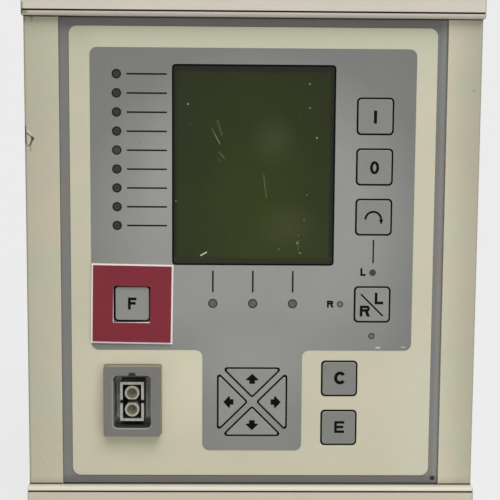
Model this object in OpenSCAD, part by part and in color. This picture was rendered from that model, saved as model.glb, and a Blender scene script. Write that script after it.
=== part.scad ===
// Protection relay for flush mounting in a control panel, half as wide as a rack.
// X runs to the right, Y to the rear and Z up. The origin is the middle of the panel cut-out,
// in the plane where the gasket meets the panel. All sizes are in millimetres.

/* [Front frame] */
// Width of the front frame
front_w = 223.7; // [218:0.1:240]
// Height of the front frame
front_h = 265.9; // [262:0.1:290]
// Width of each side strip
strip_w = 16.85; // [15:0.05:18]
// Height of each horizontal rail
rail_h = 16.85; // [15:0.05:18]
// Thickness of the flange behind the strips and rails
flange_t = 4; // [4:0.5:6]
// How far the side strips stand in front of the flange
strip_t = 5; // [4:0.5:7]
// How far the rails stand in front of the side strips
rail_proud = 4.5; // [3:0.5:8]
// Radius of the rails' rounded inner lips
lip_r = 2.1; // [1.5:0.1:3]
// Radius of the outer edges of rails and strips
edge_r = 1.5; // [0.5:0.1:2]
// Rim of a rail outside its name strip
rail_rim = 2.2; // [2:0.1:4]
// Thickness of the name strips
name_t = 1.2; // [0.8:0.1:2]
// Groove between a name strip and the lip
name_gap = 0.5; // [0.3:0.1:1]
// Thickness of the panel gasket
gasket_t = 2; // [2:0.5:4]

/* [Operator panel] */
// Thickness of the operator panel
panel_t = 3; // [2.5:0.5:4]
// Width of the flange's ledge behind the panel's edge
ledge_w = 4.5; // [4:0.1:5]
// Grey channel beside the overlay
channel_w = 5; // [4:0.1:8]
// Grey channel above and below the overlay
channel_h = 4.25; // [4:0.05:7]
// Thickness of the overlay foil
foil_t = 0.5; // [0.3:0.1:1]
// Corner radius of the overlay foil
foil_r = 4; // [2:0.5:8]
// Thickness of the grey printed field
field_t = 0.15; // [0.1:0.05:0.3]
// Cream border beside the grey field
field_in = 10; // [8:0.5:12]
// Upper edge of the grey field
field_top = 101.7; // [98:0.1:105]
// Lower edge of the grey field's wide part
field_low = -47.6; // [-49:0.1:-46]
// Width of the grey field's stem
stem_w = 50; // [46:0.5:52]
// Lower edge of the stem
stem_low = -99; // [-102:0.1:-94]
// Corner radius of the grey field
field_r = 3.5; // [1:0.1:5]

/* [Display] */
// Sideways offset of the display, the status lamps and the arrow keys
middle_x = 0.3; // [-1:0.1:1]
// Width of the display window as a share of the grey field's width
window_share = 0.5; // [0.46:0.01:0.51]
// Height of the display window
window_h = 98.3; // [90:0.1:99]
// Height of the window's middle above the panel's middle
window_z = 44.5; // [43:0.1:46]
// Corner radius of the window
window_r = 1.6; // [0.5:0.1:3]
// How far the window lies below the printed field
window_sink = 0.35; // [0.1:0.05:1]
// Thickness of the window's rim behind the panel
window_rim_t = 1.5; // [1:0.1:2]
// How far the window's rim reaches behind the panel
window_lap = 2; // [1:0.5:3]
// Dark border of the display bezel seen through the window
display_border = 2.6; // [1:0.1:5]
// Wall of the display bezel
display_wall = 1.2; // [0.8:0.1:2]

/* [Keys] */
// Width of a square key's cap
key_w = 17.2; // [15:0.1:17.4]
// Gap round each key cap
key_gap = 0.6; // [0.4:0.1:0.8]
// Corner radius of a square key's cap
key_r = 1.6; // [1:0.1:3]
// How far a cap stands in front of the field
key_proud = 0.35; // [0.1:0.05:1]
// Chamfer on a cap's front edge
key_edge = 0.5; // [0.2:0.1:0.9]
// Width of the rim that holds a cap behind the panel
key_lap = 0.9; // [0.5:0.1:1]
// Thickness of that rim
key_rim_t = 1; // [0.8:0.1:1.5]
// Travel of a key
key_travel = 0.6; // [0.3:0.1:0.8]
// Radius of a key's plunger
plunger_r = 1.75; // [1.2:0.05:2]
// Depth of a plunger in its switch at rest
plunger_in = 1.4; // [1:0.1:2]
// Width of a key switch
switch_w = 7; // [6:0.5:8]
// Height of a key switch on its board
switch_h = 5; // [4:0.5:6]
// Distance of the switching keys' column from the field's edge
key_in = 20; // [16:0.5:22]
// Height of the close key
close_z = 69.1; // [66:0.1:72]
// Distance between keys in a column
key_pitch = 24.8; // [23:0.1:26]
// Height of the local and remote key, also of the function key
remote_z = -24.2; // [-25:0.1:-23]
// Distance of the function key's column from the field's edge
function_in = 20.3; // [19:0.1:22]
// Distance of the clear and enter keys' column from the stem
clear_out = 18.8; // [17:0.1:22]
// Height of the clear key
clear_z = -61.9; // [-63:0.1:-60]
// Distance from the clear key to the enter key
enter_pitch = 25.2; // [23:0.1:26]
// Height of the arrow keys' middle
pad_z = -74; // [-76:0.1:-72]
// Half the width of the square that the arrow keys fill
pad_half = 17.7; // [16:0.1:18.5]
// Distance from the square's middle to each arrow key's tip
pad_tip = 1.9; // [1.8:0.1:2.5]
// Corner radius of an arrow key's opening
pad_r = 1.3; // [1:0.1:1.6]

/* [Label plate] */
// Width of the engraved plate round the function key
label_w = 40.5; // [38:0.1:42]
// Height of the plate
label_h = 39.8; // [38:0.1:42]
// Thickness of the plate's pale core
label_core_t = 1; // [0.6:0.1:1.5]
// Thickness of the plate's red face
label_face_t = 0.4; // [0.2:0.1:0.6]
// Pale border left round the red face
label_border = 0.8; // [0.5:0.1:2]
// Gap between the function key's cap and the plate's window
label_gap = 0.4; // [0.4:0.05:1]
// Pale step left beside and below that window
label_step = 0.45; // [0:0.05:1]
// How far the plate sits below the key's middle
label_drop = 0.15; // [0:0.05:0.3]
// Clockwise tilt of the plate in degrees
label_tilt = 0.9; // [0:0.1:1]

/* [Lamps] */
// Distance of the alarm lamps' column from the field's edge
alarm_in = 13; // [10:0.5:16]
// Height of the uppermost alarm lamp
alarm_top = 88.9; // [86:0.1:92]
// Distance between alarm lamps
alarm_pitch = 9.27; // [8.8:0.01:9.6]
// Number of alarm lamps
alarm_count = 9; // [5:1:9]
// Diameter of an alarm or status lamp
lamp_d = 4.6; // [4:0.1:5]
// Distance between status lamps
status_pitch = 19.9; // [18:0.1:21]
// Height of the status lamps
status_z = -24; // [-25:0.05:-22]
// Diameter of a small control lamp
small_lamp_d = 3.2; // [2.8:0.1:4]
// Distance of the control lamps from their key's middle
small_lamp_out = 16; // [14.5:0.1:16.5]
// How far lamps lie below the field
lamp_sink = 0.1; // [0.05:0.05:0.4]
// Height of a lamp's foot on the board
lamp_foot = 3; // [2:0.5:4]
// How much wider than its lens a lamp's foot is
lamp_step = 0.8; // [0.5:0.1:1]

/* [Service port] */
// Distance of the port's column from the field's edge
port_in = 20.4; // [18:0.1:24]
// Height of the port's middle
port_z = -72.9; // [-75:0.1:-72]
// Width of the port's bezel
port_w = 28.2; // [27:0.1:31]
// Height of the port's bezel
port_h = 35.4; // [34:0.1:38]
// Corner radius of the bezel
port_r = 1; // [0.5:0.1:2]
// How far the bezel stands in front of the foil
port_proud = 5.5; // [3:0.5:6]
// Rim of the bezel behind the panel
port_lap = 2; // [1:0.5:3]
// Thickness of that rim
port_rim_t = 1.5; // [1:0.1:2]
// Width of the socket
socket_w = 18.7; // [17:0.1:20]
// Height of the socket
socket_h = 26.5; // [25:0.5:29]
// Corner radius of the socket
socket_r = 2.2; // [1:0.1:3]
// Chamfer on the socket's front edge
socket_edge = 0.7; // [0.3:0.1:1]
// Wall of the socket's tray
socket_wall = 1.5; // [1:0.1:2]
// Floor of the socket's tray
socket_floor = 3; // [2:0.5:4]
// Width of the keying notch
notch_w = 3.6; // [3:0.1:5]
// Height of the keying notch
notch_h = 1.6; // [1:0.1:2]
// Width of the two split sleeves
sleeve_w = 11.9; // [10.5:0.1:13]
// Height over both sleeves
sleeve_h = 19.9; // [18:0.1:22]
// Wall of a sleeve
sleeve_wall = 1.3; // [1:0.1:1.5]
// Split between the sleeves
sleeve_split = 0.9; // [0.5:0.1:1.2]
// Depth of the sleeves' ends below the bezel
sleeve_depth = 4.5; // [4.4:0.1:6]
// How far the sleeves sit left of the socket's middle
sleeve_left = 0.4; // [0:0.1:1]
// How far the sleeves sit below the socket's middle
sleeve_drop = 0.9; // [0:0.1:1.2]
// Diameter of an optical end
optic_d = 7.2; // [6:0.1:7.2]
// Bore of an optical end
optic_bore = 4.9; // [3:0.1:5]
// Depth of that bore
optic_bore_t = 2.2; // [1:0.1:3]
// Distance between the two optical ends
optic_pitch = 8.45; // [8.2:0.05:8.6]
// How far the optical ends stay behind the sleeves
optic_sink = 0.6; // [0:0.1:1.2]
// Height cut off an optical end towards the other
optic_flat = 0.4; // [0.2:0.1:0.8]

/* [Case] */
// How far the front frame overlaps the case at each side
side_overlap = 6.85; // [6:0.05:9]
// How far the front frame overlaps the case above and below
end_overlap = 8.05; // [7:0.05:10]
// Depth of the case behind the panel plane
case_d = 207; // [190:1:230]
// Thickness of the side plates
side_t = 2; // [1.5:0.5:2]
// Thickness of the covers
cover_t = 1.5; // [1:0.1:2]
// Thickness of the rear panel
rear_t = 2; // [1.5:0.5:3]
// Width of the side plates' front folds
front_fold = 9; // [8:0.5:10]
// Width of the side plates' rear folds
rear_fold = 12; // [11:0.5:12]
// Height of the covers' side folds
cover_fold = 14; // [12:0.5:16]
// Radius of the tapped fixing holes in the side plates
fixing_r = 2.1; // [1.6:0.05:2.5]
// Distance of the fixing holes behind the panel plane
fixing_y = 12; // [10:0.5:15]
// Height between the fixing holes
fixing_span = 190; // [160:1:200]
// Radius of the case screws' shanks
screw_r = 1.5; // [1.2:0.05:1.75]
// Radius of the case screws' heads
screw_head_r = 2.75; // [2.5:0.05:3]
// Height of the case screws' heads
screw_head_h = 1.9; // [1.5:0.1:2.5]
// Distance of the outer rear screws from the case's ends
rear_screw_in = 12; // [10:0.5:16]

/* [Cards] */
// Thickness of the circuit boards
board_t = 1.6; // [1.2:0.1:2]
// Distance of the operator board behind the panel
board_gap = 10; // [9.5:0.5:12]
// Distance of the operator board's edges inside the foil's sides
board_side = 1; // [0.5:0.5:4]
// Distance of the operator board's edges inside the foil's ends
board_end = 2.85; // [2:0.05:5]
// Corner radius of the operator board
board_r = 2; // [1:0.5:4]
// Radius of the bosses that carry the operator board
boss_r = 3.5; // [3:0.1:4]
// Distance of the bosses from the board's edges
boss_in = 4.5; // [4:0.1:6]
// Space between the operator board and the mother board
link_d = 14.4; // [12:0.1:18]
// Width of the link between those boards
link_w = 60; // [40:1:80]
// Height of the link between those boards
link_h = 9; // [6:0.5:12]
// Height of the link's middle
link_z = -101; // [-102:0.5:-90]
// Free space beside the mother board
mother_side = 3; // [3:0.5:6]
// Space from the mother board to the cards
card_gap = 2.4; // [1:0.1:5]
// Space from the cards to the rear panel
card_end = 4; // [3:0.5:8]
// Free space beside the first card
slot_margin = 6; // [5.6:0.1:7]
// Share of the cards' space that the transformer card takes
transformer_share = 0.31; // [0.3:0.01:0.32]
// Share that the processor card takes
processor_share = 0.135; // [0.12:0.005:0.14]
// Share that the power card takes
power_share = 0.205; // [0.2:0.005:0.21]
// Share that each relay card takes
relay_share = 0.16; // [0.14:0.005:0.165]
// Width of a card guide
guide_w = 8; // [6:0.5:10]
// Height of a card guide
guide_h = 6; // [5:0.5:8]
// Depth of the groove in a card guide
guide_groove = 3; // [2:0.5:4]
// Width of a card connector
connector_w = 10; // [8:0.5:12]
// Depth of a card connector
connector_d = 24; // [20:0.5:28]
// Height of a card connector
connector_h = 90; // [60:1:120]

/* [Card parts] */
// Length of a transformer core
core_h = 36; // [32:0.5:40]
// Depth of a transformer core
core_d = 30; // [28:0.5:34]
// Thickness of a transformer core
core_t = 18; // [14:0.5:20]
// Width of a core's middle leg
core_leg = 10; // [8:0.5:12]
// Thickness of a core's outer legs and yokes
core_yoke = 5; // [4:0.5:6]
// How far a coil stands out of its core
coil_out = 6; // [4:0.5:8]
// Distance between transformers along the card
core_pitch_y = 60; // [50:1:70]
// Distance between transformers up the card
core_pitch_z = 70; // [50:1:80]
// Width of a processor chip
chip_w = 28; // [20:0.5:32]
// Height of a chip above its card
chip_t = 3.4; // [2:0.1:5]
// Distance between chips
chip_pitch = 42; // [38:1:50]
// Radius of a storage capacitor
capacitor_r = 11; // [8:0.5:14]
// Length of a storage capacitor
capacitor_l = 30; // [20:1:34]
// Distance between capacitors
capacitor_pitch = 34; // [30:1:40]
// Length of an output relay
relay_l = 29; // [25:0.5:32]
// Width of an output relay
relay_w = 12.6; // [10:0.1:14]
// Height of an output relay
relay_h = 15.7; // [12:0.1:18]
// Distance between output relays
relay_pitch = 22; // [16:0.5:26]
// Number of output relays on a card
relay_count = 8; // [4:1:9]

/* [Terminals] */
// Number of poles in a terminal block
poles = 12; // [8:1:12]
// Distance between poles
pole_pitch = 7.62; // [6:0.02:8]
// Width of a terminal block outside the rear panel
block_w = 15.6; // [15.2:0.1:17]
// Width of a terminal block inside the rear panel
block_in_w = 14; // [12:0.1:14]
// Depth of a terminal block inside the rear panel
block_in_d = 16; // [10:0.5:20]
// End wall of a terminal block past its last pole
block_end = 2; // [1.5:0.1:3]
// How far terminals stand behind the rear panel
block_out = 12.5; // [10:0.5:16]
// Height of the terminal blocks' middles above and below the case's middle
block_z = 52; // [51:0.5:56]
// Width of a wire entry
wire_w = 3.6; // [2.5:0.1:3.8]
// Depth of a wire entry
wire_d = 8; // [5:0.5:9]
// Radius of a terminal screw
pole_screw_r = 1.8; // [1.4:0.1:2.2]
// Distance of wire entries and screws from a block's middle line
pole_out = 3.4; // [2.8:0.1:3.8]
// Rows of the current terminals
current_rows = 12; // [8:1:12]
// Distance between those rows
current_pitch = 15; // [12:0.5:16]
// Width of the current terminals
current_w = 46; // [42:0.5:48]
// Rim of the current terminals on the rear panel
current_rim = 2; // [1.5:0.1:3]
// Radius of a current terminal's screw
current_screw_r = 3; // [2:0.1:3.5]
// Distance of those screws from the middle line
current_screw_out = 15.5; // [13:0.5:17]
// Distance of the current wire entries from the middle line
current_wire_out = 6.5; // [5:0.5:8]
// Depth of a terminal screw's hole
screw_hole_d = 3; // [2:0.5:4]
// Height of a terminal screw
pole_screw_h = 1.9; // [1:0.1:2.4]
// Height of the serial port's middle
serial_z = 60; // [40:1:80]
// Height of the serial port's flange
serial_h = 31; // [28:0.5:34]
// Width of the serial port's flange
serial_w = 12.5; // [11:0.5:14]
// How far the serial port stands out
serial_out = 6; // [4:0.5:8]
// Radius of the earth stud
earth_r = 2.5; // [2:0.05:3]
// Distance of the earth stud from the case's lower end
earth_in = 12.9; // [11:0.1:15]
// Thickness of the earth stud's washer
washer_t = 1; // [0.6:0.1:1.5]
// Thickness of the earth stud's nut
nut_t = 4; // [3:0.5:5]

/* [Fit] */
// Clearance round a piece set in an opening
fit_gap = 0.2; // [0.1:0.05:0.3]
// Clearance round a lamp, a plunger or a screw
pin_gap = 0.05; // [0.03:0.01:0.1]

/* [Hidden] */
$fn = 48;
frame_colour = [0.70, 0.69, 0.59];
rail_colour = [0.78, 0.75, 0.68];
channel_colour = [0.45, 0.46, 0.45];
foil_colour = [0.78, 0.76, 0.67];
field_colour = [0.55, 0.56, 0.54];
key_colour = [0.59, 0.59, 0.57];
lamp_colour = [0.24, 0.24, 0.23];
glass_colour = [0.19, 0.24, 0.12];
dark_colour = [0.13, 0.13, 0.13];
red_colour = [0.51, 0.18, 0.23];
pale_colour = [0.92, 0.88, 0.86];
sleeve_colour = [0.74, 0.74, 0.70];
board_colour = [0.10, 0.35, 0.20];
steel_colour = [0.66, 0.67, 0.68];
case_colour = [0.72, 0.73, 0.74];
copper_colour = [0.62, 0.36, 0.18];

// Planes along Y, from the panel plane to the front
y_frame = -gasket_t;
y_seat = y_frame - flange_t;
y_strip = y_seat - strip_t;
y_rail = y_strip - rail_proud;
y_channel = y_seat - panel_t;
y_foil = y_channel - foil_t;
y_field = y_foil - field_t;
y_key = y_field - key_proud;
y_label = y_field - label_core_t - label_face_t;
rail_d = y_seat - y_rail;

// Planes along Y, from the panel plane to the rear
y_board = y_seat + board_gap;
y_board_back = y_board + board_t;
y_mother = y_board_back + link_d;
y_mother_back = y_mother + board_t;
y_rear = case_d - rear_t;
y_card = y_mother_back + card_gap;
y_card_end = y_rear - card_end;

// Outlines of the frame, the panel and the case
opening_w = front_w - 2 * strip_w;
opening_h = front_h - 2 * rail_h;
panel_w = opening_w - 2 * fit_gap;
panel_h = opening_h - 2 * fit_gap;
foil_w = opening_w - 2 * channel_w;
foil_h = opening_h - 2 * channel_h;
field_w = foil_w - 2 * field_in;
window_w = field_w * window_share;
board_w = foil_w - 2 * board_side;
board_h = foil_h - 2 * board_end;
case_w = front_w - 2 * side_overlap;
case_h = front_h - 2 * end_overlap;
case_in_w = case_w - 2 * side_t;
case_in_h = case_h - 2 * cover_t;
gasket_edge = 0.6;

// Keys: the middle of each square key, and the opening's and the rim's widths
key_x = field_w / 2 - key_in;
function_x = function_in - field_w / 2;
clear_x = middle_x + stem_w / 2 + clear_out;
open_z = close_z - key_pitch;
select_z = open_z - key_pitch;
enter_z = clear_z - enter_pitch;
close_at = [key_x, close_z];
open_at = [key_x, open_z];
select_at = [key_x, select_z];
remote_at = [key_x, remote_z];
function_at = [function_x, remote_z];
clear_at = [clear_x, clear_z];
enter_at = [clear_x, enter_z];
square_keys = [close_at, open_at, select_at, remote_at, function_at, clear_at, enter_at];
key_opening = key_w + 2 * key_gap;
label_window = key_w + 2 * label_gap;
key_rim_w = key_opening + 2 * key_lap;
key_base_r = key_r + key_gap;
y_switch = y_board - switch_h;
y_plunger = y_switch + plunger_in;
arrow_turns = [0, 90, 180, 270];
pad_mid = pad_half * 0.68;
arc_steps = 8;

// Lamps
alarm_x = alarm_in - field_w / 2;
alarm_at = [for (i = [0:alarm_count - 1]) [alarm_x, alarm_top - i * alarm_pitch]];
status_at = [for (i = [-1:1]) [middle_x + i * status_pitch, status_z]];
control_at = [
    [key_x, remote_z + small_lamp_out],
    [key_x - small_lamp_out, remote_z],
    [key_x, remote_z - small_lamp_out]
];

// Service port
port_x = port_in - field_w / 2;
y_port = y_foil - port_proud;
y_port_rim = y_seat + port_rim_t;
y_socket = y_board - socket_floor;
y_sleeve = y_port + sleeve_depth;
socket_front_w = socket_w + 2 * socket_edge;
socket_front_h = socket_h + 2 * socket_edge;
y_optic = y_sleeve + optic_sink;
sleeve_side = (sleeve_h - sleeve_split) / 2;
sleeve_x = port_x - sleeve_left;
sleeve_z = port_z - sleeve_drop;

// Cards, from the left wall
mother_w = case_in_w - 2 * mother_side;
card_space = case_in_w - 2 * slot_margin;
transformer_slot = card_space * transformer_share;
processor_slot = card_space * processor_share;
power_slot = card_space * power_share;
relay_slot = card_space * relay_share;
transformer_x = -case_in_w / 2 + slot_margin;
processor_x = transformer_x + transformer_slot;
power_x = processor_x + processor_slot;
relay_x = power_x + power_slot;
relay_2_x = relay_x + relay_slot;
card_xs = [transformer_x, processor_x, power_x, relay_x, relay_2_x];
card_h = case_in_h - 2 * (guide_h - guide_groove + fit_gap);
coil_t = core_t + 2 * coil_out;
core_window = (core_h - core_leg - 2 * core_yoke) / 2;
card_mid = (y_card + y_card_end) / 2;
core_x = transformer_x + board_t + coil_t / 2;

// Screws
boss_x = board_w / 2 - boss_in;
boss_z = board_h / 2 - boss_in;
boss_at = [for (sx = [-1, 1], sz = [-1, 1]) [sx * boss_x, sz * boss_z]];
boss_hole_r = 1.3;
boss_screw_l = 7;
frame_screw_x = case_in_w / 2 - screw_head_r - fit_gap;
frame_screw_end = 35;
frame_screw_z = case_h / 2 - frame_screw_end;
frame_screw_in = 3;
rear_screw_x = case_w / 2 - rear_fold / 2;
rear_screw_zs = [-(case_h / 2 - rear_screw_in), 0, case_h / 2 - rear_screw_in];
rear_screw_l = 5;
cover_screw_in = 28;
cover_screw_end = 1;
cover_screw_ys = [cover_screw_in, case_d / 2, case_d - cover_screw_in];
cover_screw_z = case_h / 2 - cover_fold / 2 - cover_t;
slot_t = 0.7;
corner_screw_in = 2.65;
corner_screw_at = [opening_w / 2 - corner_screw_in, corner_screw_in - opening_h / 2];
corner_screw_r = 1.2;
corner_screw_sink = 0.5;
corner_screw_l = 2;

// Terminals
block_xs = [for (x = [power_x, relay_x, relay_2_x]) x + board_t + block_in_w / 2];
block_zs = [-block_z, block_z];
block_in_h = poles * pole_pitch;
block_h = block_in_h + 2 * block_end;
y_block = case_d + block_out;
current_x = transformer_x + transformer_slot / 2;
current_in_w = current_w - 2 * current_rim;
current_in_h = current_rows * current_pitch;
current_h = current_in_h + 2 * current_rim;
current_in_d = 12;
serial_x = processor_x + board_t + serial_w / 2;
serial_shell_h = 17;
serial_shell_w = 8.4;
serial_in_d = 10;
earth_x = processor_x + processor_slot / 3;
earth_z = earth_in - case_h / 2;
y_nut = case_d + washer_t + nut_t;

// Plain shapes

// A flat piece drawn in X and Z, from one plane to another along Y
module plate(from, to) {
    translate([0, to, 0])
        rotate([90, 0, 0])
            linear_extrude(to - from)
                children();
}

// A bar drawn in Y and Z, centred along X
module bar_x(length) {
    translate([-length / 2, 0, 0])
        rotate([90, 0, 90])
            linear_extrude(length)
                children();
}

// A bar drawn in X and Y, centred along Z
module bar_z(length) {
    translate([0, 0, -length / 2])
        linear_extrude(length)
            children();
}

// A round pin along Y
module pin(radius, from, to) {
    translate([0, from, 0])
        rotate([-90, 0, 0])
            cylinder(r = radius, h = to - from);
}

// A box given by its lowest and its highest corner
module block(low, high) {
    translate(low)
        cube(high - low);
}

// A flat rectangle with round corners
module rounded_rect(w, h, r) {
    square([w - 2 * r, h], center = true);
    square([w, h - 2 * r], center = true);
    for (sx = [-1, 1], sz = [-1, 1])
        translate([sx * (w / 2 - r), sz * (h / 2 - r)])
            circle(r);
}

// Points along an arc round a middle, between two angles
function arc(middle, r, from, to) = [
    for (i = [0:arc_steps])
        let (turn = from + (to - from) * i / arc_steps)
            middle + r * [cos(turn), sin(turn)]
];

// A flat right-angled triangle, tip down, with round corners; inset shrinks it on every side
module rounded_triangle(inset, r) {
    tip = pad_tip + inset * sqrt(2);
    top = pad_half - inset;
    low = tip + r * sqrt(2);
    high = top - r;
    half = top - tip - r * (1 + sqrt(2));
    polygon(concat(
        arc([0, low], r, 225, 315),
        arc([half, high], r, -45, 90),
        arc([-half, high], r, 90, 225)
    ));
}

// A cut for a driver's blade across the end of a screw
module driver_slot(radius, end) {
    block([-radius, end - slot_t, -slot_t / 2], [radius, end + 1, slot_t / 2]);
}

// A head with a driver slot behind a plane, and a shank in front of it, along Y
module pan_screw(length, shank_r) {
    difference() {
        pin(screw_head_r, 0, screw_head_h);
        driver_slot(screw_head_r, screw_head_h);
    }
    pin(shank_r, -length, 0);
}

// A slotted screw sunk in a hole, along Y
module grub_screw(radius) {
    difference() {
        pin(radius, 0, pole_screw_h);
        driver_slot(radius, pole_screw_h);
    }
}

// Front frame

module side_strip_section() {
    square([strip_w - edge_r, strip_t]);
    square([strip_w, strip_t - edge_r]);
    translate([strip_w - edge_r, strip_t - edge_r])
        circle(edge_r);
}

module front_frame() color(frame_colour) {
    difference() {
        union() {
            plate(y_seat, y_frame)
                rounded_rect(front_w, front_h, edge_r);
            for (s = [0, 1])
                mirror([s, 0, 0])
                    translate([opening_w / 2, y_seat, 0])
                        mirror([0, 1, 0])
                            bar_z(opening_h)
                                side_strip_section();
        }
        plate(y_seat - 1, y_frame + 1)
            square([opening_w - 2 * ledge_w, opening_h - 2 * ledge_w], center = true);
        for (sx = [-1, 1], sz = [-1, 1])
            translate([sx * frame_screw_x, 0, sz * frame_screw_z])
                pin(screw_r + pin_gap, y_frame - frame_screw_in - fit_gap, y_frame + 1);
        translate([corner_screw_at[0], 0, corner_screw_at[1]])
            pin(corner_screw_r / 2 + pin_gap, y_seat - 1, y_seat + corner_screw_l + fit_gap);
    }
}

// Section of a rail: along the first axis from its seat to the front, along the second outward
module rail_section() {
    difference() {
        union() {
            square([rail_d - lip_r, rail_h]);
            translate([0, lip_r])
                square([rail_d, rail_h - lip_r - edge_r]);
            translate([0, lip_r])
                square([rail_d - edge_r, rail_h - lip_r]);
            translate([rail_d - lip_r, lip_r])
                circle(lip_r);
            translate([rail_d - edge_r, rail_h - edge_r])
                circle(edge_r);
        }
        translate([rail_d - name_t, lip_r])
            square([name_t + 1, rail_h - lip_r - rail_rim]);
    }
}

module name_strip_section() {
    low = lip_r + name_gap;
    translate([rail_d - name_t, low])
        square([name_t - fit_gap, rail_h - rail_rim - fit_gap - low]);
}

// Sets a rail's section out along the upper or the lower edge of the frame
module rail_place(lower) {
    mirror([0, 0, lower])
        translate([0, y_seat, opening_h / 2])
            mirror([0, 1, 0])
                bar_x(front_w)
                    children();
}

module top_rail() color(rail_colour) rail_place(0) rail_section();
module bottom_rail() color(rail_colour) rail_place(1) rail_section();
module top_name_strip() color(rail_colour) rail_place(0) name_strip_section();
module bottom_name_strip() color(rail_colour) rail_place(1) name_strip_section();

module panel_gasket() color(dark_colour) {
    plate(y_frame, 0)
        difference() {
            rounded_rect(front_w - 2 * gasket_edge, front_h - 2 * gasket_edge, edge_r);
            square([case_w + 2 * fit_gap, case_h + 2 * fit_gap], center = true);
        }
}

// Operator panel

module key_openings() {
    for (at = square_keys)
        translate(at)
            rounded_rect(key_opening, key_opening, key_base_r);
    for (turn = arrow_turns)
        translate([middle_x, pad_z])
            rotate(turn)
                rounded_triangle(0, pad_r);
}

module lamp_openings() {
    for (at = concat(alarm_at, status_at))
        translate(at)
            circle(lamp_d / 2 + pin_gap);
    for (at = control_at)
        translate(at)
            circle(small_lamp_d / 2 + pin_gap);
}

module window_opening() {
    translate([middle_x, window_z])
        rounded_rect(window_w + 2 * fit_gap, window_h + 2 * fit_gap, window_r + fit_gap);
}

module port_opening() {
    translate([port_x, port_z])
        rounded_rect(port_w + 2 * fit_gap, port_h + 2 * fit_gap, port_r + fit_gap);
}

module panel_openings() {
    key_openings();
    lamp_openings();
    window_opening();
    port_opening();
}

module operator_panel() color(channel_colour) {
    difference() {
        union() {
            plate(y_channel, y_seat)
                difference() {
                    square([panel_w, panel_h], center = true);
                    panel_openings();
                }
            for (at = boss_at)
                translate([at[0], 0, at[1]])
                    pin(boss_r, y_seat, y_board);
        }
        for (at = boss_at)
            translate([at[0], 0, at[1]])
                pin(boss_hole_r + pin_gap, y_seat + 1, y_board + 1);
        translate([corner_screw_at[0], 0, corner_screw_at[1]])
            pin(corner_screw_r + pin_gap, y_channel - 1, y_seat + 1);
    }
}

module overlay_foil() color(foil_colour) {
    plate(y_foil, y_channel)
        difference() {
            rounded_rect(foil_w, foil_h, foil_r);
            panel_openings();
        }
}

module field_outline() {
    translate([0, (field_top + field_low) / 2])
        rounded_rect(field_w, field_top - field_low, field_r);
    translate([middle_x, (field_low + stem_low) / 2])
        translate([0, field_r])
            rounded_rect(stem_w, field_low - stem_low + 2 * field_r, field_r);
    for (s = [-1, 1])
        translate([middle_x + s * (stem_w / 2 + field_r / 2), field_low - field_r / 2])
            difference() {
                square(field_r, center = true);
                translate([s * field_r / 2, -field_r / 2])
                    circle(field_r);
            }
}

module grey_field() color(field_colour) {
    plate(y_field, y_foil)
        difference() {
            field_outline();
            panel_openings();
        }
}

module corner_screw() color(dark_colour) {
    translate([corner_screw_at[0], 0, corner_screw_at[1]]) {
        difference() {
            pin(corner_screw_r, y_channel + corner_screw_sink, y_seat);
            pin(corner_screw_r / 2, y_channel, y_channel + 2 * corner_screw_sink);
        }
        pin(corner_screw_r / 2, y_seat, y_seat + corner_screw_l);
    }
}

// Label plate round the function key

module label_place() {
    translate([function_x, 0, remote_z - label_drop])
        rotate([0, label_tilt, 0])
            children();
}

module label_layer(from, to, inset, step) {
    plate(from, to)
        difference() {
            square([label_w - 2 * inset, label_h - 2 * inset], center = true);
            translate([-step / 2, -step / 2])
                square(label_window + step, center = true);
        }
}

module label_core() color(pale_colour) {
    label_place()
        label_layer(y_label + label_face_t, y_field, 0, 0);
}

module label_face() color(red_colour) {
    label_place()
        label_layer(y_label, y_label + label_face_t, label_border, label_step);
}

// Display

module display_window() color(glass_colour) {
    translate([middle_x, 0, window_z]) {
        plate(y_field + window_sink, y_seat)
            rounded_rect(window_w, window_h, window_r);
        plate(y_seat, y_seat + window_rim_t)
            rounded_rect(window_w + 2 * window_lap, window_h + 2 * window_lap, window_r);
    }
}

module display_bezel() color(dark_colour) {
    front = y_seat + window_rim_t;
    outer_w = window_w + 2 * (window_lap + display_wall);
    outer_h = window_h + 2 * (window_lap + display_wall);
    translate([middle_x, 0, window_z])
        difference() {
            plate(front, y_board)
                square([outer_w, outer_h], center = true);
            plate(front - 1, y_board)
                square([window_w - 2 * display_border, window_h - 2 * display_border], center = true);
            plate(front + display_wall, y_board + 1)
                square([outer_w - 2 * display_wall, outer_h - 2 * display_wall], center = true);
        }
}

module display_glass() color(glass_colour) {
    inset = 2 * (window_lap - fit_gap);
    translate([middle_x, 0, window_z])
        plate(y_seat + window_rim_t + display_wall, y_board)
            square([window_w + inset, window_h + inset], center = true);
}

// Lamps: a lens that reaches from a wider foot on the board to the front

module lamp(at, diameter) {
    translate([at[0], 0, at[1]]) {
        pin(diameter / 2, y_field + lamp_sink, y_board);
        pin(diameter / 2 + lamp_step, y_board - lamp_foot, y_board);
    }
}

module alarm_lamps() color(lamp_colour) {
    for (at = alarm_at)
        lamp(at, lamp_d);
}

module status_lamps() color(lamp_colour) {
    for (at = status_at)
        lamp(at, lamp_d);
}

module control_lamps() color(lamp_colour) {
    for (at = control_at)
        lamp(at, small_lamp_d);
}

// Keys: a cap with a chamfered front, a rim behind the panel and a plunger

module square_key(at) color(key_colour) {
    inner_w = key_w - 2 * key_edge;
    translate([at[0], 0, at[1]]) {
        hull() {
            plate(y_key, y_key + key_edge)
                rounded_rect(inner_w, inner_w, key_r, $fn = 32);
            plate(y_key + key_edge, y_seat)
                rounded_rect(key_w, key_w, key_r, $fn = 32);
        }
        plate(y_seat, y_seat + key_rim_t)
            rounded_rect(key_rim_w, key_rim_w, key_base_r);
        pin(plunger_r, y_seat, y_plunger);
    }
}

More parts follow.
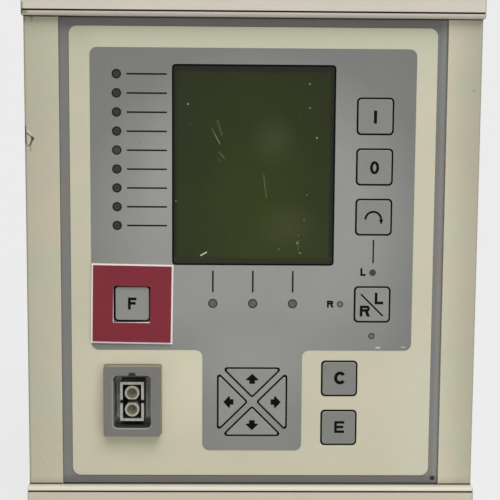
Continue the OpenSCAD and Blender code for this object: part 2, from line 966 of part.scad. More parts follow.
module arrow_key(turn) color(key_colour) {
    translate([middle_x, 0, pad_z])
        rotate([0, -turn, 0]) {
            hull() {
                plate(y_key, y_key + key_edge)
                    rounded_triangle(key_gap + key_edge, pad_r - key_gap);
                plate(y_key + key_edge, y_seat)
                    rounded_triangle(key_gap, pad_r - key_gap);
            }
            plate(y_seat, y_seat + key_rim_t)
                rounded_triangle(-key_lap, pad_r);
            translate([0, 0, pad_mid])
                pin(plunger_r, y_seat, y_plunger);
        }
}

module key_switch() {
    difference() {
        block([-switch_w / 2, y_switch, -switch_w / 2], [switch_w / 2, y_board, switch_w / 2]);
        pin(plunger_r + pin_gap, y_switch - 1, y_plunger + key_travel + fit_gap);
    }
}

module key_switches() color(dark_colour) {
    for (at = square_keys)
        translate([at[0], 0, at[1]])
            key_switch();
    for (turn = arrow_turns)
        translate([middle_x - pad_mid * sin(turn), 0, pad_z + pad_mid * cos(turn)])
            key_switch();
}

module operator_board() color(board_colour) {
    plate(y_board, y_board_back)
        difference() {
            rounded_rect(board_w, board_h, board_r);
            for (at = boss_at)
                translate(at)
                    circle(boss_hole_r + pin_gap);
        }
}

module board_link() color(dark_colour) {
    block([-link_w / 2, y_board_back, link_z - link_h / 2], [link_w / 2, y_mother, link_z + link_h / 2]);
}

// Service port

module socket_outline() {
    rounded_rect(socket_w, socket_h, socket_r);
    translate([0, socket_h / 2])
        square([notch_w, 2 * notch_h], center = true);
}

module port_bezel() color(channel_colour) {
    translate([port_x, 0, port_z])
        difference() {
            union() {
                plate(y_port, y_seat)
                    rounded_rect(port_w, port_h, port_r);
                plate(y_seat, y_port_rim)
                    rounded_rect(port_w + 2 * port_lap, port_h + 2 * port_lap, socket_r);
            }
            plate(y_port - 1, y_port_rim + 1)
                socket_outline();
            hull() {
                plate(y_port - socket_edge, y_port)
                    rounded_rect(socket_front_w, socket_front_h, socket_r + socket_edge, $fn = 32);
                plate(y_port, y_port + socket_edge)
                    rounded_rect(socket_w, socket_h, socket_r, $fn = 32);
            }
        }
}

module port_socket() color(dark_colour) {
    translate([port_x, 0, port_z])
        difference() {
            plate(y_port_rim, y_board)
                square([socket_w + 2 * socket_wall, socket_h + 2 * (socket_wall + notch_h)], center = true);
            plate(y_port_rim - 1, y_socket)
                socket_outline();
        }
}

module port_sleeves() color(sleeve_colour) {
    inner_w = sleeve_w - 2 * sleeve_wall;
    translate([sleeve_x, 0, sleeve_z])
        plate(y_sleeve, y_socket)
            for (s = [-1, 1])
                translate([0, s * (sleeve_split + sleeve_side) / 2])
                    difference() {
                        square([sleeve_w, sleeve_side], center = true);
                        translate([0, -s * sleeve_wall])
                            square([inner_w, sleeve_side], center = true);
                    }
}

module optical_ends() color(sleeve_colour) {
    flat = optic_d / 2 - optic_flat;
    for (s = [-1, 1])
        translate([sleeve_x, 0, sleeve_z + s * optic_pitch / 2])
            difference() {
                pin(optic_d / 2, y_optic, y_socket);
                pin(optic_bore / 2, y_optic - 1, y_optic + optic_bore_t);
                mirror([0, 0, s > 0 ? 1 : 0])
                    block([-optic_d, y_optic - 1, flat], [optic_d, y_socket + 1, optic_d]);
            }
}

// Case

module side_plate(right) {
    mirror([1 - right, 0, 0])
        difference() {
            bar_z(case_h) {
                translate([case_in_w / 2, y_frame])
                    square([side_t, y_rear - y_frame]);
                translate([case_w / 2 - front_fold, y_frame])
                    square([front_fold, side_t]);
                translate([case_w / 2 - rear_fold, y_rear - side_t])
                    square([rear_fold, side_t]);
            }
            for (s = [-1, 1]) {
                translate([case_in_w / 2 - 1, fixing_y, s * fixing_span / 2])
                    rotate([0, 90, 0])
                        cylinder(r = fixing_r, h = side_t + 2);
                translate([frame_screw_x, 0, s * frame_screw_z])
                    pin(screw_r + pin_gap, y_frame - 1, y_frame + side_t + 1);
                for (y = cover_screw_ys)
                    translate([case_w / 2, y, s * cover_screw_z])
                        rotate([0, -90, 0]) {
                            translate([0, 0, -1])
                                cylinder(r = screw_r + pin_gap, h = side_t + 2);
                            cylinder(r1 = screw_head_r + pin_gap, r2 = screw_r + pin_gap, h = side_t);
                        }
            }
            for (z = rear_screw_zs)
                translate([rear_screw_x, 0, z])
                    pin(screw_r + pin_gap, y_rear - side_t - 1, y_rear + 1);
        }
}

module left_side_plate() color(case_colour) side_plate(0);
module right_side_plate() color(case_colour) side_plate(1);

module cover(lower) {
    y_low = y_frame + side_t + fit_gap;
    y_high = y_rear - side_t - fit_gap;
    half = case_in_w / 2 - fit_gap / 2;
    mirror([0, 0, lower])
        difference() {
            union() {
                block([-half, y_low, case_in_h / 2], [half, y_high, case_h / 2]);
                for (s = [0, 1])
                    mirror([s, 0, 0])
                        block([half - cover_t, y_low, case_h / 2 - cover_fold], [half, y_high, case_h / 2]);
            }
            for (y = cover_screw_ys)
                translate([-half - 1, y, cover_screw_z])
                    rotate([0, 90, 0])
                        cylinder(r = screw_r + pin_gap, h = 2 * half + 2);
        }
}

module top_cover() color(case_colour) cover(0);
module bottom_cover() color(case_colour) cover(1);

module rear_openings() {
    for (x = block_xs, z = block_zs)
        translate([x, z])
            square([block_in_w + 2 * fit_gap, block_in_h + 2 * fit_gap], center = true);
    translate([current_x, 0])
        square([current_in_w + 2 * fit_gap, current_in_h + 2 * fit_gap], center = true);
    translate([serial_x, serial_z])
        square([serial_shell_w + 2 * fit_gap, serial_shell_h + 2 * fit_gap], center = true);
    translate([earth_x, earth_z])
        circle(earth_r + pin_gap);
    for (s = [-1, 1], z = rear_screw_zs)
        translate([s * rear_screw_x, z])
            circle(screw_r + pin_gap);
}

module rear_panel() color(case_colour) {
    plate(y_rear, case_d)
        difference() {
            rounded_rect(case_w, case_h, edge_r);
            rear_openings();
        }
}

module cover_screw() {
    cylinder(r1 = screw_head_r, r2 = screw_r, h = side_t);
    cylinder(r = screw_r, h = side_t + cover_t + cover_screw_end);
}

module case_screws() color(steel_colour) {
    for (s = [-1, 1], z = rear_screw_zs)
        translate([s * rear_screw_x, case_d, z])
            pan_screw(rear_screw_l, screw_r);
    for (sx = [0, 1], sz = [-1, 1], y = cover_screw_ys)
        mirror([sx, 0, 0])
            translate([case_w / 2, y, sz * cover_screw_z])
                rotate([0, -90, 0])
                    cover_screw();
    for (sx = [-1, 1], sz = [-1, 1])
        translate([sx * frame_screw_x, y_frame + side_t, sz * frame_screw_z])
            pan_screw(side_t + frame_screw_in, screw_r);
    for (at = boss_at)
        translate([at[0], y_board_back, at[1]])
            pan_screw(boss_screw_l, boss_hole_r);
}

// Circuit boards

module mother_board() color(board_colour) {
    plate(y_mother, y_mother_back)
        square([mother_w, case_in_h - 2 * fit_gap], center = true);
}

module card(x) {
    block([x, y_card, -card_h / 2], [x + board_t, y_card_end, card_h / 2]);
}

module transformer_card() color(board_colour) card(transformer_x);
module processor_card() color(board_colour) card(processor_x);
module power_card() color(board_colour) card(power_x);

module relay_cards() color(board_colour) {
    card(relay_x);
    card(relay_2_x);
}

module card_connectors() color(dark_colour) {
    for (x = card_xs)
        translate([x + board_t, y_mother_back, 0])
            block([0, 0, -connector_h / 2], [connector_w, connector_d, connector_h / 2]);
}

module card_guide(x) {
    middle = x + board_t / 2;
    groove = board_t / 2 + fit_gap;
    low = case_in_h / 2 - guide_h;
    groove_end = low + guide_groove;
    difference() {
        block([middle - guide_w / 2, y_card, low], [middle + guide_w / 2, y_card_end, case_in_h / 2]);
        block([middle - groove, y_card - 1, low - 1], [middle + groove, y_card_end + 1, groove_end]);
    }
}

module card_guides() color(dark_colour) {
    for (x = card_xs, s = [0, 1])
        mirror([0, 0, s])
            card_guide(x);
}

// Transformers: a core with two windows, and a coil round its middle leg

module transformer_places() {
    for (i = [-1, 1], k = [-1:1])
        translate([core_x, card_mid + i * core_pitch_y / 2, k * core_pitch_z])
            children();
}

module transformer_cores() color(steel_colour) {
    transformer_places()
        difference() {
            cube([core_t, core_d, core_h], center = true);
            for (s = [-1, 1])
                translate([0, 0, s * (core_leg + core_window) / 2])
                    cube([core_t + 2, core_d - 2 * core_yoke, core_window], center = true);
        }
}

module transformer_coils() color(copper_colour) {
    coil_d = core_d - 2 * core_yoke - 2 * fit_gap;
    transformer_places()
        difference() {
            cube([coil_t, coil_d, core_leg + 2 * core_window - 2 * fit_gap], center = true);
            cube([core_t + 2 * fit_gap, core_d, core_leg + 2 * fit_gap], center = true);
        }
}

module processor_chips() color(dark_colour) {
    for (i = [0:1], k = [-1:1])
        translate([processor_x + board_t, card_mid + (i - 0.5) * chip_pitch, k * chip_pitch])
            block([0, -chip_w / 2, -chip_w / 2], [chip_t, chip_w / 2, chip_w / 2]);
}

module power_parts() color(dark_colour) {
    for (k = [-1:1])
        translate([power_x + board_t, card_mid, k * capacitor_pitch])
            rotate([0, 90, 0])
                cylinder(r = capacitor_r, h = capacitor_l);
}

module output_relays() color(pale_colour) {
    for (x = [relay_x, relay_2_x], i = [0:relay_count - 1])
        translate([x + board_t, card_mid, (i - (relay_count - 1) / 2) * relay_pitch])
            block([0, -relay_l / 2, -relay_w / 2], [relay_h, relay_l / 2, relay_w / 2]);
}

// Terminals

// Wire entry in a terminal, open to the rear
module wire_entry() {
    translate([0, y_block, 0])
        cube([wire_w, 2 * wire_d, wire_w], center = true);
}

function pole_z(i) = (i - (poles - 1) / 2) * pole_pitch;
function current_z(i) = (i - (current_rows - 1) / 2) * current_pitch;

module terminal_blocks() color(dark_colour) {
    for (x = block_xs, z = block_zs)
        translate([x, 0, z])
            difference() {
                union() {
                    plate(case_d - block_in_d, case_d)
                        square([block_in_w, block_in_h], center = true);
                    plate(case_d, y_block)
                        square([block_w, block_h], center = true);
                }
                for (i = [0:poles - 1])
                    translate([0, 0, pole_z(i)]) {
                        translate([-pole_out, 0, 0])
                            wire_entry();
                        translate([pole_out, 0, 0])
                            pin(pole_screw_r + pin_gap, y_block - screw_hole_d, y_block + 1);
                    }
            }
}

module current_terminals() color(dark_colour) {
    translate([current_x, 0, 0])
        difference() {
            union() {
                plate(case_d - current_in_d, case_d)
                    square([current_in_w, current_in_h], center = true);
                plate(case_d, y_block)
                    square([current_w, current_h], center = true);
            }
            for (s = [-1, 1], i = [0:current_rows - 1])
                translate([0, 0, current_z(i)]) {
                    translate([s * current_wire_out, 0, 0])
                        wire_entry();
                    translate([s * current_screw_out, 0, 0])
                        pin(current_screw_r + pin_gap, y_block - screw_hole_d, y_block + 1);
                }
        }
}

module terminal_screws() color(steel_colour) {
    for (x = block_xs, z = block_zs, i = [0:poles - 1])
        translate([x + pole_out, y_block - screw_hole_d, z + pole_z(i)])
            grub_screw(pole_screw_r);
    for (s = [-1, 1], i = [0:current_rows - 1])
        translate([current_x + s * current_screw_out, y_block - screw_hole_d, current_z(i)])
            grub_screw(current_screw_r);
}

// Serial port with a D-shaped shell
module serial_port() color(steel_colour) {
    flange_d = 1;
    slant = 0.8;
    half_w = serial_shell_w / 2;
    half_h = serial_shell_h / 2;
    translate([serial_x, 0, serial_z]) {
        plate(case_d - serial_in_d, case_d)
            square([serial_shell_w, serial_shell_h], center = true);
        plate(case_d, case_d + flange_d)
            rounded_rect(serial_w, serial_h, 1);
        plate(case_d + flange_d, case_d + serial_out)
            polygon([
                [-half_w, -half_h + 2 * slant], [half_w, -half_h],
                [half_w, half_h], [-half_w, half_h - 2 * slant]
            ]);
    }
}

// Earth stud with a round head inside the rear panel, a washer and a nut

module earth_stud() color(steel_colour) {
    head_t = 3;
    relief_t = 0.5;
    translate([earth_x, 0, earth_z]) {
        pin(2 * earth_r, y_rear - head_t, y_rear);
        pin(earth_r, y_rear, y_nut);
        pin(0.9 * earth_r, y_nut, y_nut + relief_t);
        pin(earth_r, y_nut + relief_t, y_block);
    }
}

module earth_nut() color(steel_colour) {
    translate([earth_x, 0, earth_z])
        difference() {
            union() {
                pin(2.2 * earth_r, case_d, case_d + washer_t);
                translate([0, case_d + washer_t, 0])
                    rotate([-90, 0, 0])
                        cylinder(r = 1.85 * earth_r, h = nut_t, $fn = 6);
            }
            pin(earth_r + pin_gap, case_d - 1, y_nut + 1);
        }
}

front_frame();
top_rail();
bottom_rail();
top_name_strip();
bottom_name_strip();
panel_gasket();
operator_panel();
overlay_foil();
grey_field();
label_core();
label_face();
corner_screw();
display_window();
display_bezel();
display_glass();
alarm_lamps();
status_lamps();
control_lamps();
square_key(close_at);  // key_close
square_key(open_at);  // key_open
square_key(select_at);  // key_select
square_key(remote_at);  // key_local_remote
square_key(function_at);  // key_function
square_key(clear_at);  // key_clear
square_key(enter_at);  // key_enter
arrow_key(arrow_turns[0]);  // key_up
arrow_key(arrow_turns[1]);  // key_left
arrow_key(arrow_turns[2]);  // key_down
arrow_key(arrow_turns[3]);  // key_right
key_switches();
operator_board();
board_link();
port_bezel();
port_socket();
port_sleeves();
optical_ends();
left_side_plate();
right_side_plate();
top_cover();
bottom_cover();
rear_panel();
case_screws();
mother_board();
card_connectors();
card_guides();
transformer_card();
transformer_cores();
transformer_coils();
processor_card();
processor_chips();
power_card();
power_parts();
relay_cards();
output_relays();
terminal_blocks();
current_terminals();
terminal_screws();
serial_port();
earth_stud();
earth_nut();
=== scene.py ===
import math

import bmesh
import bpy
from mathutils import Matrix, Vector


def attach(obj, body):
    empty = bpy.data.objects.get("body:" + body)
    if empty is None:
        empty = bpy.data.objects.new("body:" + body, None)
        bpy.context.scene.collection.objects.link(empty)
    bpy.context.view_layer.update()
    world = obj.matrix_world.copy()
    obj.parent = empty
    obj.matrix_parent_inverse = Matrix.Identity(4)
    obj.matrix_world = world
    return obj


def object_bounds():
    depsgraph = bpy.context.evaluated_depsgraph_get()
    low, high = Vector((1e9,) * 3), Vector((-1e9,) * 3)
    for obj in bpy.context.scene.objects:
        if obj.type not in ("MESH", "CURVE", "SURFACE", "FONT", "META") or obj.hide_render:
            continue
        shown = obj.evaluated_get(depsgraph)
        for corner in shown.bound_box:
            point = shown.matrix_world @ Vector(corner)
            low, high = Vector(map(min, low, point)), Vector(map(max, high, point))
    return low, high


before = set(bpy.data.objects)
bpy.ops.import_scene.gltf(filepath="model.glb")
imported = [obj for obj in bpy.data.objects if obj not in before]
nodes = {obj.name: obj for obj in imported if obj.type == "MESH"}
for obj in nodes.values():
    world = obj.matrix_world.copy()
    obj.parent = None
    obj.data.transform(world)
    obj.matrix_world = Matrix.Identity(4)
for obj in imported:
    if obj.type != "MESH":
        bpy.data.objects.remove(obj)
cad_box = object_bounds()

# Places and sizes on the front, in millimetres as in the part's source. Y points into the case.
MM = 0.001
Y_RAIL, Y_PORT, Y_STRIP, Y_SLEEVE, Y_KEY = -15.5, -15.0, -11.0, -10.5, -10.0
Y_FIELD, Y_FOIL, Y_GLASS, Y_PANEL = -9.65, -9.5, -9.3, -9.0
FRONT_EDGE, STRIP_EDGE, PANEL_EDGE = 111.85, 95.0, 94.5  # to either side of the middle
LIP_EDGE, RAIL_EDGE = 118.2, 116.1  # above and below the middle
MIDDLE_X = 0.3
WINDOW_Z, WINDOW_HALF_W, WINDOW_HALF_H, WINDOW_R = 44.5, 40, 49.15, 1.6
PORT_X, PORT_Z, PORT_HALF_W, PORT_HALF_H = -59.6, -72.9, 14, 17.6
SOCKET_HALF_W, SOCKET_HALF_H = 10.2, 15.9
OPTIC_X, OPTIC_Z = -60.0, (-69.575, -78.025)
KEYS = {"close": (60, 69.1), "open": (60, 44.3), "select": (60, 19.5), "local_remote": (60, -24.2),
        "function": (-59.7, -24.2), "clear": (44.1, -61.9), "enter": (44.1, -87.1)}
ARROWS_Z, ARROW_REACH = -74, 11.95
ALARM_X, ALARM_Z = -67, [88.9 - i * 9.27 for i in range(9)]
STATUS_X, STATUS_Z = [MIDDLE_X + i * 19.9 for i in (-1, 0, 1)], -24
LOCAL_LAMP, REMOTE_LAMP, LOWER_LAMP = (60, -8.2), (44, -24.2), (60, -40.2)
LENS_SUNK, PRINT_T, RIM_T = 0.1, 0.04, 0.03


# Node graphs

def srgb(r, g, b):
    """An 8-bit screen colour as linear light."""
    def one(v):
        v /= 255
        return v / 12.92 if v <= 0.04045 else ((v + 0.055) / 1.055) ** 2.4
    return (one(r), one(g), one(b), 1.0)


def dimmed(colour, share):
    return tuple(c * share for c in colour[:3]) + (1.0,)


def node(tree, kind, inputs=(), **settings):
    """Adds a node. inputs pairs a socket's name or number with its value or with the output that feeds it."""
    made = tree.nodes.new(kind)
    for key, value in settings.items():
        setattr(made, key, value)
    for socket, value in inputs:
        if hasattr(value, "is_output"):
            tree.links.new(value, made.inputs[socket])
        else:
            made.inputs[socket].default_value = value
    return made


class Graph:
    """A material with a Principled shader, and short ways to add nodes to it. Lengths are in millimetres."""

    def __init__(self, name):
        self.material = bpy.data.materials.new(name)
        self.material.use_nodes = True
        self.tree = self.material.node_tree
        self.shader = next(n for n in self.tree.nodes if n.type == "BSDF_PRINCIPLED")
        self.place = self.add("ShaderNodeTexCoord").outputs["Object"]

    def add(self, kind, *inputs, **settings):
        return node(self.tree, kind, inputs, **settings)

    def math(self, operation, *values, clamp=False):
        return self.add("ShaderNodeMath", *enumerate(values), operation=operation, use_clamp=clamp).outputs[0]

    def product(self, first, *others):
        for other in others:
            first = self.math("MULTIPLY", first, other)
        return first

    def vector(self, operation, *values):
        made = self.add("ShaderNodeVectorMath", *enumerate(values), operation=operation)
        scalar = operation in ("LENGTH", "DISTANCE", "DOT_PRODUCT")
        return made.outputs["Value" if scalar else "Vector"]

    def scaled(self, vector, factor):
        made = self.add("ShaderNodeVectorMath", (0, vector), ("Scale", factor), operation="SCALE")
        return made.outputs[0]

    def axis(self, name, place=None):
        return self.add("ShaderNodeSeparateXYZ", (0, place or self.place)).outputs["xyz".index(name)]

    def off(self, name, middle=0):
        """How far a place lies to either side of a middle, along one axis."""
        value = self.axis(name)
        if middle:
            value = self.math("SUBTRACT", value, middle * MM)
        return self.math("ABSOLUTE", value)

    def noise(self, size, detail=3, rough=0.55, stretch=None):
        """Cloudy noise, with features of about that size."""
        place = self.vector("MULTIPLY", self.place, stretch) if stretch else self.place
        made = self.add("ShaderNodeTexNoise", ("Vector", place), ("Scale", 1 / (size * MM)),
                        ("Detail", detail), ("Roughness", rough))
        return made.outputs["Fac"]

    def cells(self, size):
        made = self.add("ShaderNodeTexVoronoi", ("Vector", self.place), ("Scale", 1 / (size * MM)))
        return made.outputs["Distance"]

    def ramp(self, value, start, end, at_start=0.0, at_end=1.0):
        """Runs from one result to the other while a value goes from start to end."""
        made = self.add("ShaderNodeMapRange", ("Value", value), ("From Min", start), ("From Max", end),
                        ("To Min", at_start), ("To Max", at_end), clamp=True)
        return made.outputs["Result"]

    def along(self, length, start, end, at_start=0.0, at_end=1.0):
        """A ramp between two places on an axis, or between two values of another length."""
        value = self.axis(length) if isinstance(length, str) else length
        return self.ramp(value, start * MM, end * MM, at_start, at_end)

    def between(self, length, low, high, soft):
        """1 while a length lies between two limits."""
        return self.math("MINIMUM", self.along(length, low - soft, low), self.along(length, high + soft, high))

    def half(self, side):
        """1 on one side of the part's middle."""
        axis, sign = {"left": ("x", -1), "right": ("x", 1), "bottom": ("z", -1), "top": ("z", 1)}[side]
        return self.along(axis, -10 * sign, 10 * sign)

    def wander(self, size, low, high, detail=3):
        """A value that drifts between two limits over that size."""
        return self.ramp(self.noise(size, detail), 0.3, 0.7, low, high)

    def spot(self, at, size, soft, rough=0.0, grain=1.5, face=None, deep=4):
        """1 inside an oval in X and Z, 0 outside, ragged where rough is given. It goes right through the part,
        or only to about that depth from a face."""
        place = self.vector("SUBTRACT", self.place, (at[0] * MM, (face or 0) * MM, at[1] * MM))
        reach = 0 if face is None else 1 / (deep * MM)
        stretch = (1 / (size[0] * MM), reach, 1 / (size[1] * MM))
        far = self.vector("LENGTH", self.vector("MULTIPLY", place, stretch))
        if rough:
            wobble = self.math("SUBTRACT", self.noise(grain, 4), 0.5)
            far = self.math("MULTIPLY_ADD", wobble, rough * 2, far)
        return self.ramp(far, 1.0, 1.0 - soft)

    def glow(self, at, size, full, factor):
        """A factor that rises or falls from 1 at the edge of a wide oval to its full value inside."""
        return self.ramp(self.spot(at, size, 1.0), 0.0, full, 1.0, factor)

    def stroke(self, a, b, width):
        """1 along a straight scratch between two places in X and Z."""
        run = ((b[0] - a[0]) * MM, 0, (b[1] - a[1]) * MM)
        away = self.vector("SUBTRACT", self.place, (a[0] * MM, 0, a[1] * MM))
        away = self.vector("MULTIPLY", away, (1, 0, 1))
        dot = self.vector("DOT_PRODUCT", away, run)
        share = self.math("DIVIDE", dot, run[0] ** 2 + run[2] ** 2, clamp=True)
        far = self.vector("DISTANCE", away, self.scaled(run, share))
        return self.along(far, width * 0.75, width * 0.25)

    def mix(self, share, a, b):
        return self.add("ShaderNodeMix", (0, share), (6, a), (7, b), data_type="RGBA").outputs[2]

    def laid(self, base, mask, share, colour):
        """A base with another colour over it, at a share of its strength."""
        return self.mix(self.product(mask, share), base, colour)

    def tint(self, colour, *factors):
        """A colour made lighter or darker by factors that vary."""
        if isinstance(colour, tuple):
            colour = colour[:3]
        for factor in factors:
            colour = self.scaled(colour, factor)
        return colour

    def bump(self, height, depth):
        made = self.add("ShaderNodeBump", ("Strength", 1.0), ("Distance", depth * MM), ("Height", height))
        self.tree.links.new(made.outputs["Normal"], self.shader.inputs["Normal"])

    def grain(self, size, depth):
        self.bump(self.noise(size), depth)

    def coat(self, base, rough, specular=None, metallic=None, patch=12, detail=4):
        """Sets the colour, an uneven roughness between two limits, and the gloss."""
        polish = self.wander(patch, *rough, detail)
        self.tree.links.new(base, self.shader.inputs["Base Color"])
        self.tree.links.new(polish, self.shader.inputs["Roughness"])
        if specular is not None:
            self.shader.inputs["Specular IOR Level"].default_value = specular
        if metallic is not None:
            self.shader.inputs["Metallic"].default_value = metallic
        return self.material


def speckle(g, base, dark, share):
    """A few small dark specks, gathered in places."""
    specks = g.product(g.ramp(g.cells(5.5), 0.085, 0.03), g.ramp(g.noise(30, 2), 0.52, 0.62))
    return g.laid(base, specks, share, dark)


def mottled(g, base, slow_mm, grain_mm, mottle):
    """Slow and fine changes of shade."""
    slow = g.wander(slow_mm, 1 - mottle, 1 + mottle, 2)
    fine = g.wander(grain_mm, 1 - mottle * 0.6, 1 + mottle * 0.6)
    return g.tint(base, slow, fine)


# Plain finishes

def painted(name, colour, rough, mottle, grain_mm, peel, specular=0.4, dirt=0.0):
    """Painted metal or moulded plastic with a fine surface and a little dirt."""
    g = Graph(name)
    base = mottled(g, colour, 38, grain_mm, mottle)
    if dirt:
        base = speckle(g, base, dimmed(colour, 0.45), dirt)
    g.grain(grain_mm, peel)
    return g.coat(base, (rough - 0.05, rough + 0.06), specular)


def moulded(name, colour, rough=0.55):
    """Plain moulded plastic with a fine spark-eroded grain."""
    return painted(name, colour, rough, mottle=0.06, grain_mm=0.5, peel=0.012, dirt=0.15)


def metal(name, colour, rough, stretch=None, metallic=1.0, grain_mm=1.2):
    """Bare or plated metal with fine drawn lines, faint stains and uneven polish."""
    g = Graph(name)
    lines = g.noise(grain_mm, 4, 0.6, stretch)
    base = g.tint(colour, g.wander(30, 0.93, 1.05), g.ramp(lines, 0.25, 0.75, 0.94, 1.05))
    g.bump(lines, 0.006)
    return g.coat(base, (rough - 0.06, rough + 0.08), metallic=metallic, patch=6)


def board(name):
    """Circuit board: green varnish over tracks that show as paler lines."""
    g = Graph(name)
    tracks = g.add("ShaderNodeTexBrick", ("Vector", g.place), ("Scale", 120), ("Color1", srgb(26, 92, 58)),
                   ("Color2", srgb(22, 82, 52)), ("Mortar", srgb(44, 118, 78)), ("Mortar Size", 0.012))
    g.bump(tracks.outputs["Fac"], 0.02)
    base = g.tint(tracks.outputs["Color"], g.wander(14, 0.9, 1.1))
    return g.coat(base, (0.28, 0.42), patch=5, detail=3)


# Finishes of the front

CREAM, CREAM_WARM = srgb(198, 195, 170), srgb(201, 194, 172)
BEIGE, BEIGE_WARM = srgb(181, 180, 157), srgb(186, 178, 157)
RAIL, RAIL_WARM, RAIL_LOW = srgb(203, 197, 183), srgb(206, 197, 184), srgb(198, 191, 172)
CHANNEL, CHANNEL_WARM = srgb(117, 119, 117), srgb(121, 118, 114)
FIELD, KEY, INK = srgb(143, 144, 140), srgb(140, 141, 136), srgb(13, 13, 12)
RED, PALE = srgb(122, 36, 48), srgb(236, 228, 224)
# Dark joint colour, also used as painted shade under the rails' lips
JOINT_AND_SHADE = srgb(70, 60, 48)


def aged(g, cool, warm, mottle, grain_mm, patch_mm):
    """Old paint or film: patches of two close shades, and a fine grain."""
    patches = g.ramp(g.noise(patch_mm, 2), 0.40, 0.60)
    return mottled(g, g.mix(patches, cool, warm), 40, grain_mm, mottle)


def frame_paint():
    """Side strips: aged beige paint with a chip and some dirt; painted shade towards the top, the outer edges and
    the rails; a painted highlight on the inner walls.
    """
    g = Graph("frame_paint")
    side = g.off("x")
    base = speckle(g, aged(g, BEIGE, BEIGE_WARM, 0.03, 0.9, 17), srgb(120, 112, 92), 0.5)
    # Painted shade: darker towards the top, lighter towards the bottom
    base = g.tint(base, g.along("z", -115, 90, 1.06, 0.96))
    base = g.mix(g.product(g.half("left"), g.along("z", 60, 95, 0.0, 0.75)), base, srgb(179, 180, 156))
    # Painted shade across the strips: paler at their inner edges, darker towards their outer edges, most on the
    # right strip
    across = STRIP_EDGE + 1, FRONT_EDGE - 0.85
    right = g.math("MULTIPLY_ADD", g.along("x", *across, 0.075, -0.085), g.half("right"), 1.0)
    # Painted shade close to the bottom rail's lip
    foot = g.along("z", -RAIL_EDGE + 4.3, -RAIL_EDGE + 0.7, 1.0, 0.82)
    base = g.tint(base, g.along(side, *across, 1.05, 0.95), right, foot)
    # Dark joints under the rails' lips, deepened with painted shade
    base = g.mix(g.between(g.off("z"), RAIL_EDGE - 0.3, RAIL_EDGE + 0.1, 0.15), base, JOINT_AND_SHADE)
    base = g.mix(g.between("z", -RAIL_EDGE - 0.1, -RAIL_EDGE + 0.5, 0.15), base, JOINT_AND_SHADE)
    # Painted highlight on the inner walls beside the channel
    base = g.mix(g.along(side, STRIP_EDGE + 0.15, STRIP_EDGE + 0.05), base, srgb(214, 210, 190))
    # Painted shade along the rounded outer front edges, in ragged patches
    edge_shade = g.product(g.along(side, FRONT_EDGE - 0.95, FRONT_EDGE - 0.35),
                     g.ramp(g.noise(7), 0.25, 0.6, 0.45, 1.0),
                     g.along("y", Y_STRIP + 0.9, Y_STRIP + 0.3))
    base = g.mix(edge_shade, base, srgb(146, 138, 120))
    # Stains
    for at, size, soft, rough, colour in (
        ((-111.3, 114.6), (1.2, 1.7), 0.9, 0.5, srgb(116, 112, 80)),
        ((-107.6, 115.1), (1.1, 0.8), 0.9, 0.5, srgb(112, 110, 96)),
        ((-107.6, 113.5), (0.5, 0.9), 0.9, 0.4, srgb(132, 130, 122)),
        ((107.9, 81.8), (0.9, 0.8), 0.8, 0.4, srgb(148, 140, 122)),
    ):
        base = g.mix(g.spot(at, size, soft, rough, face=Y_STRIP), base, colour)
    # The chip: torn edges, dark cracks and what lies bare
    pale, brown = srgb(206, 198, 176), srgb(108, 96, 72)
    for a, b, width, colour, share in (
        ((-110.3, 60.9), (-108.0, 58.3), 1.0, pale, 0.9),
        ((-110.6, 59.8), (-108.3, 58.0), 0.7, brown, 0.95),
        ((-108.0, 57.5), (-107.8, 57.0), 1.35, srgb(36, 28, 16), 1.0),
        ((-107.9, 56.8), (-109.0, 54.2), 0.85, srgb(52, 42, 26), 0.95),
        ((-109.0, 54.0), (-110.2, 53.6), 1.0, brown, 0.7),
        ((-108.9, 53.7), (-108.9, 51.0), 0.4, brown, 0.7),
        ((-111.35, 62.9), (-111.1, 54.6), 0.8, srgb(58, 50, 36), 0.95),
        ((-109.9, 58.0), (-109.6, 55.5), 0.9, pale, 0.35),
    ):
        base = g.laid(base, g.stroke(a, b, width), share, colour)
    g.grain(0.9, 0.012)
    return g.coat(base, (0.47, 0.58), 0.35)


